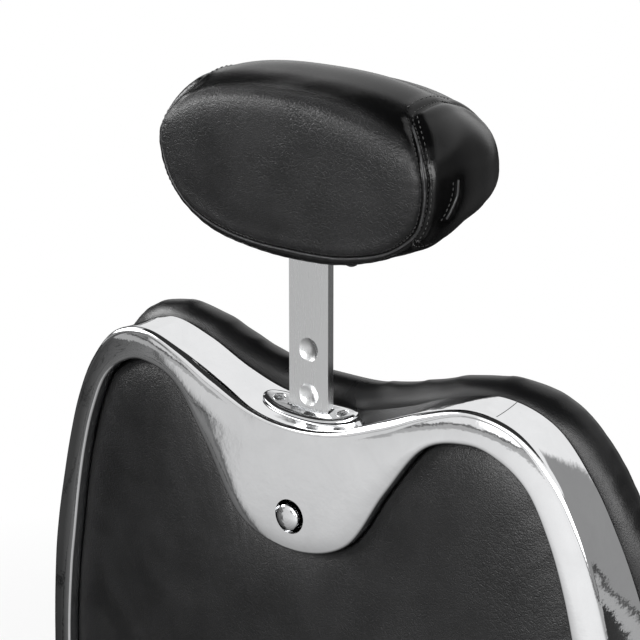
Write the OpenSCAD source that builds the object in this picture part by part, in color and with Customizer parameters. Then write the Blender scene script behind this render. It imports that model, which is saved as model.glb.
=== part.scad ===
// Reclining hairdressing chair: round pump base, swivelling padded seat with arms and leg rest,
// and a chrome-framed back whose headrest slides on a flat bar.
// X is across the chair, the sitter faces -Y, Z is up, and the floor is at zero.

/* [Base and pump] */
// Diameter of the round foot
base_d = 660; // [600:5:720]
// Height of the rubber ring that the foot stands on
foot_ring_h = 5; // [3:0.5:8]
// Radial width of the rubber ring
foot_ring_w = 14; // [10:1:20]
// Height of the foot's upright edge
base_edge_h = 8; // [6:1:12]
// Rise of the dome from its edge to the pump flange
dome_rise = 34; // [26:1:42]
// Wall of the pressed dome
dome_wall = 3; // [2:0.5:4]
// Diameter of the dome's flat top
dome_top_d = 210; // [196:2:240]
// Thickness of the cast ballast disc
ballast_h = 13; // [8:1:16]
// Diameter of the ballast's boss, which the pump bolts clamp to the dome
ballast_boss_d = 190; // [180:2:194]
// Radial gap between the ballast disc and the foot's edge
ballast_rim = 50; // [40:2:90]
// Outside diameter of the pump housing
housing_d = 118; // [108:2:126]
// Height of the pump housing above the dome
housing_h = 200; // [190:2:220]
// Wall of the pump housing
housing_wall = 4; // [3:0.5:6]
// Diameter of the pump's foot flange
flange_d = 190; // [180:2:194]
// Thickness of the foot flange
flange_t = 10; // [8:1:14]
// Diameter of the circle that the flange bolts stand on
flange_bolt_pcd = 156; // [150:2:162]
// Diameter of a flange bolt's head
flange_bolt_head_d = 16; // [12:1:18]
// Height of a flange bolt's head
flange_bolt_head_h = 7; // [5:0.5:10]
// Diameter of the lifting ram
ram_d = 64; // [56:1:70]
// Diameter of the ram's piston head
piston_d = 76; // [74:1:80]
// Height of the piston head
piston_h = 20; // [14:1:26]
// Wall of the pump's inner barrel
barrel_wall = 5; // [4:0.5:6]
// Height of the gland cap above the housing
gland_h = 8; // [6:1:12]
// Height of bare ram that shows at the lowest seat position
ram_show = 14; // [10:1:30]
// Diameter of the spigot that the seat turns on
spigot_d = 40; // [34:1:46]
// Height of the spigot
spigot_h = 44; // [36:1:50]

/* [Pump pedal] */
// Height of the pedal pivot above the dome
pedal_pivot_h = 52; // [46:1:60]
// Reach of the pedal's pivot from the housing wall
pedal_pivot_reach = 22; // [20:1:28]
// Length of the pedal from its pivot to the tread
pedal_l = 222; // [200:2:240]
// Rise of the pedal from its pivot to the tread
pedal_rise = 34; // [28:1:42]
// Length of the tread
tread_l = 64; // [54:1:72]
// Width of the pedal bar
pedal_w = 30; // [24:1:36]
// Thickness of the pedal bar
pedal_t = 9; // [7:0.5:12]
// Thickness of the rubber tread
tread_t = 7; // [5:0.5:9]
// Diameter of the pedal's pivot pin
pedal_pin_d = 12; // [10:0.5:14]

/* [Seat frame] */
// Height of the rectangular side rails
rail_h = 60; // [54:1:66]
// Width of the side rails
rail_w = 25; // [22:1:28]
// Wall of the rails and crossbars
rail_wall = 3; // [2:0.5:4]
// Distance of each rail's inner face inside the seat cushion's side
rail_inset = 34; // [30:1:38]
// Place of the rails' front end, measured forward of the column
rail_front = 262; // [250:2:270]
// Place of the rails' rear end, measured behind the column
rail_rear = 262; // [258:2:268]
// Height of the two crossbars
crossbar_h = 25; // [20:1:30]
// Depth of the two crossbars
crossbar_d = 40; // [34:1:46]
// Distance of each crossbar's middle from the column
crossbar_y = 105; // [95:1:115]
// Thickness of the centre plate
centre_plate_t = 8; // [6:1:10]
// Width of the centre plate
centre_plate_w = 200; // [170:5:230]
// Outside diameter of the swivel hub
hub_d = 84; // [76:1:92]
// Diameter of the hub's flange
hub_flange_d = 150; // [140:2:164]
// Thickness of the hub's flange
hub_flange_t = 10; // [8:1:12]

/* [Seat] */
// Gap between each side of the seat cushion and the arm tube beside it
arm_gap = 34; // [28:1:42]
// Depth of the seat cushion
seat_d = 455; // [430:5:460]
// Place of the seat cushion's rear edge behind the column
seat_rear = 165; // [155:1:168]
// Thickness of the seat board
seat_board_t = 15; // [12:1:18]
// Thickness of the seat cushion at its middle
seat_cushion_h = 122; // [100:2:135]
// Wall of the chrome strip round the seat board
trim_t = 2; // [1.5:0.5:3]

/* [Arms] */
// Diameter of the arm tubes
arm_tube_d = 32; // [28:1:34]
// Distance between the two arm tubes' middles
arm_span = 600; // [596:1:620]
// Height of the tubes' top above the rails' underside
arm_rise = 380; // [350:5:400]
// How far the pads reach past the tubes at each end
arm_pad_overhang = 14; // [6:1:24]
// Place of the rear post behind the column
arm_rear = 100; // [90:2:110]
// Bend radius of the arm tubes
arm_bend_r = 48; // [40:1:52]
// Thickness of the arm flanges
arm_flange_t = 5; // [4:0.5:7]
// Width of the arm pads
arm_pad_w = 64; // [58:1:72]
// Length of the arm pads
arm_pad_l = 330; // [300:5:340]
// Thickness of the arm pads
arm_pad_h = 42; // [34:1:48]

/* [Leg rest] */
// Thickness of the two leg bars
leg_bar_t = 8; // [6:0.5:10]
// Width of the leg bars
leg_bar_w = 34; // [28:1:38]
// How far the foot pivot lies ahead of the rails' front end
leg_reach = 188; // [180:2:200]
// How far the foot pivot lies below the rails' middle
leg_drop = 218; // [210:2:222]
// Diameter of the leg crossbars
leg_tube_d = 20; // [16:1:24]
// Gap between each end of the calf pad and the leg bar beside it
calf_gap = 18; // [13:1:28]
// Length of the calf pad
calf_l = 140; // [120:2:144]
// Thickness of the calf pad
calf_t = 40; // [32:1:44]
// Thickness of the calf pad's board
calf_board_t = 8; // [6:1:10]
// Gap between each side of the foot plate and the leg bar beside it
foot_gap = 23; // [20:1:30]
// Length of the foot plate
foot_l = 135; // [115:1:138]
// Thickness of the foot plate
foot_t = 8; // [6:1:10]
// Number of rubber ribs on the foot plate
foot_ribs = 5; // [3:1:6]
// Diameter of the foot plate's pivot pin
foot_pin_d = 12; // [10:1:14]

/* [Back] */
// Width of the chrome frame
back_w = 562; // [550:2:570]
// Height of the chrome frame from its bottom to the top of its lobes
back_h = 598; // [580:2:620]
// Height of the frame's bottom above the floor
back_z = 443; // [442:1:450]
// Distance of the frame's rear face behind the column
back_y = 300; // [298:1:302]
// Radius that the whole back is curved to, across the chair
back_curve_r = 1500; // [1300:20:1800]
// Depth of the chrome frame's outer band
frame_depth = 40; // [39:0.5:42]
// Wall of the chrome frame
frame_wall = 3; // [2.5:0.25:3.5]
// Radius of the frame's rounded rear edge
edge_round = 4; // [3.5:0.25:5]
// Width of the sloping border beside the rear panel
bevel_w = 8; // [6:0.5:10]
// Depth of the sloping border
bevel_h = 3; // [2:0.5:4]
// Depth of the lip that holds the rear panel
lip_depth = 12; // [11:0.5:12.5]
// Thickness of the rear panel's board
panel_board_t = 5; // [4:0.5:6]
// Swell of the rear panel's padding above its board
panel_swell = 12; // [8:0.5:15]
// Thickness of the back board
back_board_t = 7; // [6:0.5:8]
// Thickness of the front cushion
back_cushion_t = 82; // [70:1:88]

/* [Recline] */
// Height of the recline hinge above the rails' top
hinge_rise = 34; // [32:1:36]
// Place of the recline hinge behind the column
hinge_y = 235; // [232:1:237]
// Diameter of the hinge pins
hinge_pin_d = 14; // [12:0.5:16]
// Radius of the eyes round the hinge pins
hinge_eye_r = 22; // [20:0.5:23]
// Thickness of the hinge brackets
bracket_t = 8; // [7:0.5:9]
// Gap between a bracket and its rail, where the washers sit
washer_gap = 2; // [1.5:0.25:3]
// Height of a bracket's flange inside the back
bracket_flange_h = 100; // [90:2:110]
// Width of a bracket's flange
bracket_flange_w = 40; // [34:1:44]
// Radius of the quadrant's curved slot
slot_r = 62; // [60:0.5:64]
// Diameter of the clamp bolt
clamp_bolt_d = 10; // [8:0.5:12]
// Greatest recline of the back, in degrees
recline_deg = 50; // [40:1:55]
// Length of the clamp lever ahead of its bolt
lever_l = 190; // [170:2:210]
// Length of the lever's grip
grip_l = 90; // [70:1:100]
// Diameter of the lever's grip
grip_d = 18; // [16:0.5:20]

/* [Headrest] */
// Width of the headrest cushion
head_w = 250; // [240:2:262]
// Height of the headrest cushion
head_h = 125; // [120:1:130]
// Depth of the headrest cushion
head_d = 106; // [96:1:114]
// Height of the headrest's middle above the dip of the frame
head_rise = 188; // [182:1:195]
// Distance of the headrest's rear face behind the frame's rear face
head_back = 6; // [4:1:10]
// Width of the flat headrest bar
bar_w = 35; // [32:1:38]
// Thickness of the headrest bar
bar_t = 6; // [5:0.25:6.5]
// Length of the headrest bar
bar_l = 330; // [300:5:350]
// Distance of the bar's rear side ahead of the frame's rear face
bar_depth = 22; // [21.5:0.25:23]
// Diameter of the bar's locating dimples
dimple_d = 17; // [14:0.5:19]
// Depth of the dimples
dimple_depth = 2; // [1.5:0.25:2.5]
// Distance from one dimple to the next
dimple_pitch = 33; // [30:1:36]
// Number of dimples
dimples = 5; // [3:1:5]
// Height of the tilt hinge above the cushion's underside
tilt_rise = 28.5; // [26:0.5:34]
// Diameter of the tilt pin
tilt_pin_d = 8; // [6:0.5:9]
// Diameter of the knuckle on top of the bar
knuckle_d = 16; // [14:0.5:18]

/* [Latch] */
// Diameter of the button hole in the frame
button_hole_d = 25.5; // [24:0.5:27]
// Diameter of the push button
button_d = 19; // [17:0.5:21]
// Height of the button's domed end above the frame
button_proud = 4; // [3:0.5:6]
// Travel of the button
button_travel = 3; // [2:0.25:3]
// Depth of the button below the dip of the frame
button_drop = 71; // [68:0.5:74]
// Wall of the bar's guides
guide_wall = 2.5; // [2:0.25:2.5]
// Length of the guides from the dip down
guide_l = 170; // [150:2:190]
// Length of the oval plate round the bar
plate_l = 84; // [78:1:90]
// Width of the oval plate
plate_w = 24; // [20:0.5:26]
// Thickness of the oval plate
plate_t = 2.5; // [2:0.25:3]
// Distance between the plate's two screws
plate_screw_gap = 58; // [54:1:62]

/* [Hidden] */

$fn = 64;
fine_fn = 180;
hex_fn = 6;
over = 1;          // overrun of every cut
slip = 0.3;        // gap between soft or loose pieces
run = 0.06;        // radial clearance of a running fit
free_gap = 0.2;    // radial clearance of a loose fit
eps_t = 0.01;

// Widths and lengths that follow from the foot, the arms and their pads
ballast_d = base_d - 2 * ballast_rim;
seat_w = arm_span - arm_tube_d - 2 * arm_gap;
rail_gap = seat_w - 2 * rail_inset;
calf_w = rail_gap - 2 * leg_bar_t - 2 * calf_gap;
foot_w = rail_gap - 2 * leg_bar_t - 2 * foot_gap;
arm_front = arm_pad_l - 2 * arm_pad_overhang - arm_tube_d - arm_rear;

// Heights that stack up from the floor
edge_top_z = foot_ring_h + base_edge_h;
dome_z = edge_top_z + dome_rise;
housing_top_z = dome_z + housing_h;
ram_top_z = housing_top_z + gland_h + ram_show;
thrust_t = 2;
hub_z = ram_top_z + thrust_t;
hub_headroom = 6;
centre_plate_z = ram_top_z + spigot_h + hub_headroom;
rail_z = centre_plate_z + centre_plate_t;
rail_top_z = rail_z + rail_h;
seat_board_z = rail_top_z;
seat_z = seat_board_z + seat_board_t;
hinge_z = rail_top_z + hinge_rise;
rail_mid_z = rail_z + rail_h / 2;
rail_out = rail_gap / 2 + rail_w;

// Sizes of the pump
barrel_r = piston_d / 2 + run;
ram_bottom_z = dome_z + flange_t + piston_h / 2;
bolt_count = 6;
gland_lip = 3;
gland_r = ram_d / 2 + run;

// Pedal
pedal_y = housing_d / 2 + pedal_pivot_reach;
pedal_z = dome_z + pedal_pivot_h;
pedal_eye_wall = 6;
pedal_eye_r = pedal_pin_d / 2 + pedal_eye_wall;
pedal_ear_t = 8;
pedal_ear_h = 44;
tread_ribs = 5;

// Back: everything on it is placed by its depth ahead of the rear face and its height above the dip
dip_share = 0.931;
dip_z = back_z + back_h * dip_share;
curve_y = back_y - back_curve_r;
board_depth = frame_depth - back_board_t;
guide_depth = bar_depth - guide_wall;
bar_z0 = dip_z - (bar_l - head_rise + head_h / 2 - tilt_rise - knuckle_d / 2);
tilt_z = dip_z + head_rise - head_h / 2 + tilt_rise;
tilt_y = back_y - bar_depth - bar_t / 2;
head_z = dip_z + head_rise;
head_y = back_y + head_back;
button_z = dip_z - button_drop + edge_round;
bracket_x = rail_gap / 2 - washer_gap - bracket_t;

function sag(x) = back_curve_r - sqrt(back_curve_r * back_curve_r - x * x);
function on_back(x, depth, z) = [x, back_y - depth - sag(x), z];

// Half outlines of the back, from the dip at the top round to the middle of the bottom:
// the band's rear edge, its wider front edge, the opening's edge and the front cushion.
// Each pair is a share of half the frame's width and a share of its height.
band_shares = [
    [0, 0.931], [0.135, 0.939], [0.261, 0.961], [0.386, 0.985], [0.52, 0.999], [0.647, 0.984],
    [0.743, 0.938], [0.809, 0.882], [0.854, 0.822], [0.89, 0.761], [0.922, 0.699],
    [0.944, 0.636], [0.961, 0.538], [0.964, 0.413], [0.94, 0.277], [0.875, 0.162],
    [0.751, 0.075], [0.569, 0.028], [0.285, 0.015], [0, 0.013]
];
front_shares = [
    [0, 0.946], [0.128, 0.948], [0.26, 0.965], [0.391, 0.988], [0.534, 1], [0.669, 0.978],
    [0.769, 0.921], [0.836, 0.861], [0.886, 0.804], [0.925, 0.747], [0.961, 0.687],
    [0.986, 0.627], [1, 0.535], [1, 0.413], [0.972, 0.277], [0.907, 0.157], [0.783, 0.065],
    [0.598, 0.016], [0.299, 0.002], [0, 0]
];
lip_shares = [
    [0, 0.775], [0.171, 0.799], [0.288, 0.878], [0.399, 0.943], [0.517, 0.96], [0.605, 0.949],
    [0.68, 0.919], [0.737, 0.867], [0.776, 0.812], [0.806, 0.753], [0.83, 0.691],
    [0.853, 0.629], [0.872, 0.535], [0.872, 0.414], [0.847, 0.287], [0.786, 0.18],
    [0.683, 0.108], [0.534, 0.07], [0.27, 0.056], [0, 0.053]
];
cushion_shares = [
    [0, 0.978], [0.139, 0.98], [0.274, 0.993], [0.409, 1.011], [0.552, 1.016], [0.683, 0.996],
    [0.783, 0.95], [0.854, 0.893], [0.918, 0.834], [0.968, 0.772], [1.007, 0.702],
    [1.032, 0.627], [1.046, 0.535], [1.046, 0.409], [1.018, 0.272], [0.947, 0.15],
    [0.815, 0.05], [0.609, -0.002], [0.302, -0.015], [0, -0.017]
];
spans = 3;         // points on each stretch of an outline

// Catmull-Rom curve between p1 and p2
function curve_point(p0, p1, p2, p3, t) =
    (2 * p1 + (p2 - p0) * t + (2 * p0 - 5 * p1 + 4 * p2 - p3) * t * t
        + (3 * p1 - p0 - 3 * p2 + p3) * t * t * t) / 2;
function round_trip(half) =
    let (n = len(half))
    concat(half, [for (i = [n - 2:-1:1]) [-half[i][0], half[i][1]]]);
function smooth(knots) =
    let (n = len(knots))
    [for (i = [0:n - 1], k = [0:spans - 1])
        curve_point(knots[(i + n - 1) % n], knots[i], knots[(i + 1) % n], knots[(i + 2) % n], k / spans)];
function outline(shares) =
    [for (p = smooth(round_trip(shares))) [p[0] * back_w / 2, back_z + p[1] * back_h]];

band_line = outline(band_shares);
front_line = outline(front_shares);
lip_line = outline(lip_shares);
cushion_line = outline(cushion_shares);
ring_n = len(band_line);

// Moves each point of an outline by a distance towards its partner on another
function towards(line, partner, by) =
    [for (i = [0:len(line) - 1])
        let (v = partner[i] - line[i]) line[i] + v / norm(v) * by];
function at_depth(line, depth) = [for (p = line) on_back(p[0], depth, p[1])];
function shrunk(line, middle, share) = [for (p = line) middle + (p - middle) * share];

// Superellipse with half axes a and b; higher powers are squarer
function oval(a, b, power, n) =
    [for (i = [0:n - 1])
        let (t = 360 * i / n, c = cos(t), s = sin(t))
        [a * sign(c) * pow(abs(c), 2 / power), b * sign(s) * pow(abs(s), 2 / power)]];

// Superellipse with its upper half and its lower half of different height and power
function egg(a, top, bottom, power, n) =
    [for (i = [0:n - 1])
        let (t = 360 * i / n, up = sin(t) > 0, e = 2 / (up ? power : head_low_power))
        [a * sign(cos(t)) * pow(abs(cos(t)), e), (up ? top : -bottom) * pow(abs(sin(t)), e)]];

// Skins a stack of equal rings. A closed loop joins the last ring to the first;
// otherwise each end closes on one point.
module skin(rings, ends = []) {
    n = len(rings[0]);
    m = len(rings);
    loop = len(ends) == 0;
    pts = concat([for (r = rings) each r], ends);
    sides = [for (j = [0:(loop ? m - 1 : m - 2)], i = [0:n - 1])
        let (a = j * n + i, b = j * n + (i + 1) % n, c = ((j + 1) % m) * n + (i + 1) % n, d = ((j + 1) % m) * n + i)
        each [[a, b, c], [a, c, d]]];
    caps = loop ? [] : concat(
        [for (i = [0:n - 1]) [m * n, (i + 1) % n, i]],
        [for (i = [0:n - 1]) [m * n + 1, (m - 1) * n + i, (m - 1) * n + (i + 1) % n]]);
    polyhedron(concat(pts), concat(sides, caps), convexity = 6);
}

// Extrudes a shape drawn in Y and Z across the chair, from x0 over length l
module across(x0, l) translate([x0, 0, 0]) rotate([90, 0, 90]) linear_extrude(l) children();
module rod_x(x0, l, r, y, z, fn = 64) translate([x0, y, z]) rotate([0, 90, 0]) cylinder(h = l, r = r, $fn = fn);
module rod_y(y0, l, r, x, z, fn = 64) translate([x, y0, z]) rotate([-90, 0, 0]) cylinder(h = l, r = r, $fn = fn);
module box(lo, hi) translate(lo) cube(hi - lo);
module mirrored() {
    children();
    mirror([1, 0, 0]) children();
}

// The curved space between two depths of the back
module back_slab(near, far, lo_z, hi_z) {
    intersection() {
        difference() {
            translate([0, curve_y - near, lo_z]) cylinder(h = hi_z - lo_z, r = back_curve_r, $fn = 720);
            translate([0, curve_y - far, lo_z - over]) cylinder(h = hi_z - lo_z + 2 * over, r = back_curve_r, $fn = 720);
        }
        box([-back_w, 0, lo_z - over], [back_w, 2 * back_y, hi_z + over]);
    }
}
module back_plate(line, near, far) {
    intersection() {
        back_slab(near, far, back_z - frame_depth, back_z + back_h + frame_depth);
        translate([0, 2 * back_y, 0]) rotate([90, 0, 0]) linear_extrude(2 * back_y) polygon(line);
    }
}

module foot_ring() {
    color("black")
    rotate_extrude($fn = fine_fn)
        translate([base_d / 2 - foot_ring_w, 0]) square([foot_ring_w, foot_ring_h]);
}

// Height of the dome's outside at a radius
function dome_h(r) =
    let (t = (base_d / 2 - r) / (base_d / 2 - dome_top_d / 2)) edge_top_z + dome_rise * sin(90 * t);
dome_steps = 10;
function dome_line(drop, r0, r1) =
    [for (i = [0:dome_steps]) let (r = r1 + (r0 - r1) * i / dome_steps) [r, dome_h(r) - drop]];

module base_dome() {
    color("silver")
    rotate_extrude($fn = fine_fn) polygon(concat(
        [[base_d / 2 - dome_wall, foot_ring_h], [base_d / 2, foot_ring_h]],
        dome_line(0, dome_top_d / 2, base_d / 2),
        [[housing_d / 4, dome_z], [housing_d / 4, dome_z - dome_wall]],
        [for (p = dome_line(dome_wall, base_d / 2 - dome_wall, dome_top_d / 2)) p]));
}

module base_ballast() {
    color("dimgray") difference() {
        union() {
            translate([0, 0, foot_ring_h]) cylinder(h = ballast_h, d = ballast_d, $fn = fine_fn);
            translate([0, 0, foot_ring_h]) cylinder(h = dome_z - dome_wall - foot_ring_h, d = ballast_boss_d, $fn = 128);
        }
        translate([0, 0, foot_ring_h - over]) cylinder(h = dome_z, d = housing_d / 2);
    }
}

module pump_housing() {
    color("silver") difference() {
        union() {
            translate([0, 0, dome_z]) cylinder(h = flange_t, d = flange_d, $fn = 128);
            translate([0, 0, dome_z]) cylinder(h = housing_h, d = housing_d, $fn = 128);
        }
        translate([0, 0, dome_z + flange_t]) cylinder(h = housing_h, d = housing_d - 2 * housing_wall, $fn = 128);
    }
}

module pump_barrel() {
    color("gray") difference() {
        translate([0, 0, dome_z + flange_t])
            cylinder(h = housing_h - flange_t - gland_lip, r = barrel_r + barrel_wall, $fn = 128);
        translate([0, 0, dome_z + flange_t - over]) cylinder(h = housing_h + 2 * over, r = barrel_r, $fn = 128);
    }
}

module gland_cap() {
    color("black") difference() {
        union() {
            translate([0, 0, housing_top_z]) cylinder(h = gland_h, d = housing_d, $fn = 128);
            translate([0, 0, housing_top_z - gland_lip])
                cylinder(h = gland_lip, d = housing_d - 2 * housing_wall - 2 * free_gap, $fn = 128);
        }
        translate([0, 0, housing_top_z - gland_lip - over])
            cylinder(h = gland_h + gland_lip + 2 * over, r = gland_r, $fn = 128);
    }
}

module flange_bolts() {
    color("silver") for (i = [0:bolt_count - 1])
        rotate(360 * (i + 0.5) / bolt_count)
            translate([flange_bolt_pcd / 2, 0, dome_z + flange_t])
                cylinder(h = flange_bolt_head_h, d = flange_bolt_head_d, $fn = hex_fn);
}

// Two ears that stand out of the housing wall and hold the pedal's pin
module pedal_bracket() {
    reach = pedal_pivot_reach + pedal_eye_r;
    color("dimgray") difference() {
        mirrored() across(pedal_w / 2 + washer_gap, pedal_ear_t) {
            translate([pedal_y, pedal_z]) circle(r = pedal_eye_r);
            translate([housing_d / 4, pedal_z - pedal_ear_h / 2])
                square([housing_d / 4 + pedal_pivot_reach, pedal_ear_h / 2 + pedal_eye_r]);
        }
        cylinder(h = 2 * housing_top_z, d = housing_d + 2 * free_gap, $fn = 128);
        rod_x(-pedal_w * 2, pedal_w * 4, pedal_pin_d / 2 + run, pedal_y, pedal_z);
    }
}

module pedal_pin() {
    half = pedal_w / 2 + washer_gap + pedal_ear_t + pedal_t / 3;
    color("silver") rod_x(-half, 2 * half, pedal_pin_d / 2, pedal_y, pedal_z);
}

// Bent flat bar: a sloping shank and a level end for the tread
module pedal_lever() {
    y1 = pedal_y + pedal_l;
    z1 = pedal_z + pedal_rise;
    color("silver") difference() {
        across(-pedal_w / 2, pedal_w) {
            translate([pedal_y, pedal_z]) circle(r = pedal_eye_r);
            polygon([
                [pedal_y, pedal_z - pedal_t / 2], [y1, z1 - pedal_t], [y1 + tread_l, z1 - pedal_t],
                [y1 + tread_l, z1], [y1, z1], [pedal_y, pedal_z + pedal_t / 2]
            ]);
        }
        rod_x(-pedal_w, 2 * pedal_w, pedal_pin_d / 2 + run, pedal_y, pedal_z);
    }
}

module pedal_tread() {
    y1 = pedal_y + pedal_l;
    z1 = pedal_z + pedal_rise;
    rib = tread_l / (2 * tread_ribs + 1);
    side = pedal_w / 2 + tread_t;
    color("black") difference() {
        box([-side, y1 + rib / 2, z1], [side, y1 + tread_l, z1 + tread_t]);
        for (i = [1:tread_ribs])
            box([-side - over, y1 + rib * (2 * i - 0.5), z1 + tread_t / 2], [side + over, y1 + rib * (2 * i + 0.3), z1 + tread_t + over]);
    }
}

module lift_ram() {
    color("gainsboro") rotate_extrude($fn = 128) polygon([
        [0, ram_bottom_z], [piston_d / 2, ram_bottom_z], [piston_d / 2, ram_bottom_z + piston_h],
        [ram_d / 2, ram_bottom_z + piston_h], [ram_d / 2, ram_top_z], [spigot_d / 2, ram_top_z],
        [spigot_d / 2, ram_top_z + spigot_h], [0, ram_top_z + spigot_h]
    ]);
}

module thrust_washer() {
    color("goldenrod") translate([0, 0, ram_top_z]) difference() {
        cylinder(h = thrust_t, d = ram_d);
        translate([0, 0, -over]) cylinder(h = thrust_t + 2 * over, d = spigot_d + 2 * free_gap);
    }
}

module swivel_hub() {
    color("dimgray") difference() {
        union() {
            translate([0, 0, hub_z]) cylinder(h = centre_plate_z - hub_z, d = hub_d);
            translate([0, 0, centre_plate_z - hub_flange_t]) cylinder(h = hub_flange_t, d = hub_flange_d);
        }
        translate([0, 0, hub_z - over]) cylinder(h = centre_plate_z - hub_z + 2 * over, d = spigot_d + 2 * run);
    }
}

module centre_plate() {
    half = crossbar_y + crossbar_d / 2;
    color("dimgray")
    box([-centre_plate_w / 2, -half, centre_plate_z], [centre_plate_w / 2, half, centre_plate_z + centre_plate_t]);
}

module crossbar(y) {
    color("dimgray") difference() {
        box([-rail_gap / 2, y - crossbar_d / 2, rail_z], [rail_gap / 2, y + crossbar_d / 2, rail_z + crossbar_h]);
        box([-rail_gap / 2 - over, y - crossbar_d / 2 + rail_wall, rail_z + rail_wall],
            [rail_gap / 2 + over, y + crossbar_d / 2 - rail_wall, rail_z + crossbar_h - rail_wall]);
    }
}

// Rectangular tube with an ear welded on its inner side for the hinge pin
module rail(clamped) {
    x0 = rail_gap / 2;
    difference() {
        union() {
            difference() {
                box([x0, -rail_front, rail_z], [rail_out, rail_rear, rail_top_z]);
                box([x0 + rail_wall, -rail_front - over, rail_z + rail_wall],
                    [rail_out - rail_wall, rail_rear + over, rail_top_z - rail_wall]);
            }
            across(x0, bracket_t) {
                translate([hinge_y, hinge_z]) circle(r = hinge_eye_r);
                translate([hinge_y - hinge_eye_r, rail_top_z]) square([2 * hinge_eye_r, hinge_rise]);
            }
        }
        rod_x(x0 - over, bracket_t + 2 * over, hinge_pin_d / 2 + run, hinge_y, hinge_z);
        if (clamped)
            rod_x(x0 - over, rail_w + 2 * over, clamp_bolt_d / 2 + free_gap, hinge_y, hinge_z - slot_r);
    }
}
module rail_left() color("dimgray") rail(false);
module rail_right() color("dimgray") mirror([1, 0, 0]) rail(true);

module hinge_pins() {
    head = bracket_t / 2;
    color("silver") mirrored() {
        rod_x(bracket_x - free_gap, bracket_t + washer_gap + bracket_t + free_gap, hinge_pin_d / 2, hinge_y, hinge_z);
        rod_x(bracket_x - head - free_gap, head, hinge_pin_d / 2 + head, hinge_y, hinge_z);
    }
}

module ring_x(x0, l, r_in, r_out, y, z) difference() {
    rod_x(x0, l, r_out, y, z);
    rod_x(x0 - over, l + 2 * over, r_in, y, z);
}

module hinge_washers() {
    x0 = bracket_x + bracket_t + free_gap;
    color("goldenrod") mirrored()
        ring_x(x0, washer_gap - free_gap, hinge_pin_d / 2 + run, hinge_eye_r - hinge_pin_d / 4, hinge_y, hinge_z);
}

clamp_z = hinge_z - slot_r;
lever_side_gap = 14;   // the lever's blade hangs clear of the cushion's side
lever_x = seat_w / 2 + lever_side_gap;
lever_t = 6;

module clamp_bolt() {
    head = bracket_t;
    inner = bracket_x - free_gap;
    color("silver") mirror([1, 0, 0]) {
        rod_x(inner, lever_x + lever_t + lever_t - inner, clamp_bolt_d / 2, hinge_y, clamp_z);
        rod_x(inner - head, head, clamp_bolt_d, hinge_y, clamp_z, hex_fn);
        ring_x(bracket_x + bracket_t + free_gap, washer_gap - free_gap,
            clamp_bolt_d / 2 + free_gap, clamp_bolt_d, hinge_y, clamp_z);
    }
}

seat_mid_y = seat_rear - seat_d / 2;
seat_power = 7;
trim_inset = 4;

module seat_board() {
    color("burlywood") translate([0, seat_mid_y, seat_board_z]) linear_extrude(seat_board_t)
        polygon(oval(seat_w / 2 - trim_inset - trim_t - slip, seat_d / 2 - trim_inset - trim_t - slip, seat_power, 64));
}

module seat_trim() {
    color("silver") translate([0, seat_mid_y, seat_board_z]) linear_extrude(seat_board_t) difference() {
        polygon(oval(seat_w / 2 - trim_inset, seat_d / 2 - trim_inset, seat_power, 64));
        polygon(oval(seat_w / 2 - trim_inset - trim_t, seat_d / 2 - trim_inset - trim_t, seat_power, 64));
    }
}

// Crowned cushion: each row is a share of the plan, a share of the height and a corner power
seat_rows_shares = [[0.965, 0, 7], [0.995, 0.1, 7], [1, 0.35, 7], [0.995, 0.58, 7], [0.965, 0.76, 6], [0.88, 0.87, 5], [0.62, 0.96, 4], [0.3, 0.993, 3]];
module seat_cushion() {
    color("black") translate([0, seat_mid_y, seat_z]) skin(
        [for (r = seat_rows_shares)
            [for (p = oval(seat_w / 2 * r[0], seat_d / 2 * r[0], r[2], 48)) [p[0], p[1], seat_cushion_h * r[1]]]],
        [[0, 0, 0], [0, 0, seat_cushion_h]]);
}

// Tube frame of one arm: out of the rail, up, along and back down
arm_x = arm_span / 2;
arm_low_z = rail_mid_z;
arm_top_z = rail_z + arm_rise;
module elbow(r) rotate_extrude(angle = 90, $fn = 96) translate([r, 0]) circle(d = arm_tube_d, $fn = 48);
module arm_tube() {
    post_z0 = arm_low_z + arm_bend_r;
    post_z1 = arm_top_z - arm_tube_d / 2 - arm_bend_r;
    stub_x = rail_out + arm_flange_t;
    flange_h = rail_h - 2 * rail_wall;
    for (y = [-arm_front, arm_rear]) {
        box([rail_out, y - arm_tube_d, rail_mid_z - flange_h / 2],
            [stub_x, y + arm_tube_d, rail_mid_z + flange_h / 2]);
        rod_x(stub_x, arm_x - arm_bend_r - stub_x, arm_tube_d / 2, y, arm_low_z, 48);
        translate([arm_x - arm_bend_r, y, arm_low_z + arm_bend_r]) rotate([90, 0, 0]) rotate(-90) elbow(arm_bend_r);
        translate([arm_x, y, post_z0]) cylinder(h = post_z1 - post_z0, d = arm_tube_d, $fn = 48);
    }
    translate([arm_x, -arm_front + arm_bend_r, post_z1]) rotate([90, 0, 90]) rotate(90) elbow(arm_bend_r);
    translate([arm_x, arm_rear - arm_bend_r, post_z1]) rotate([90, 0, 90]) elbow(arm_bend_r);
    rod_y(-arm_front + arm_bend_r, arm_front + arm_rear - 2 * arm_bend_r,
        arm_tube_d / 2, arm_x, post_z1 + arm_bend_r, 48);
}
module arm_tube_left() color("silver") arm_tube();
module arm_tube_right() color("silver") mirror([1, 0, 0]) arm_tube();

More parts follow.
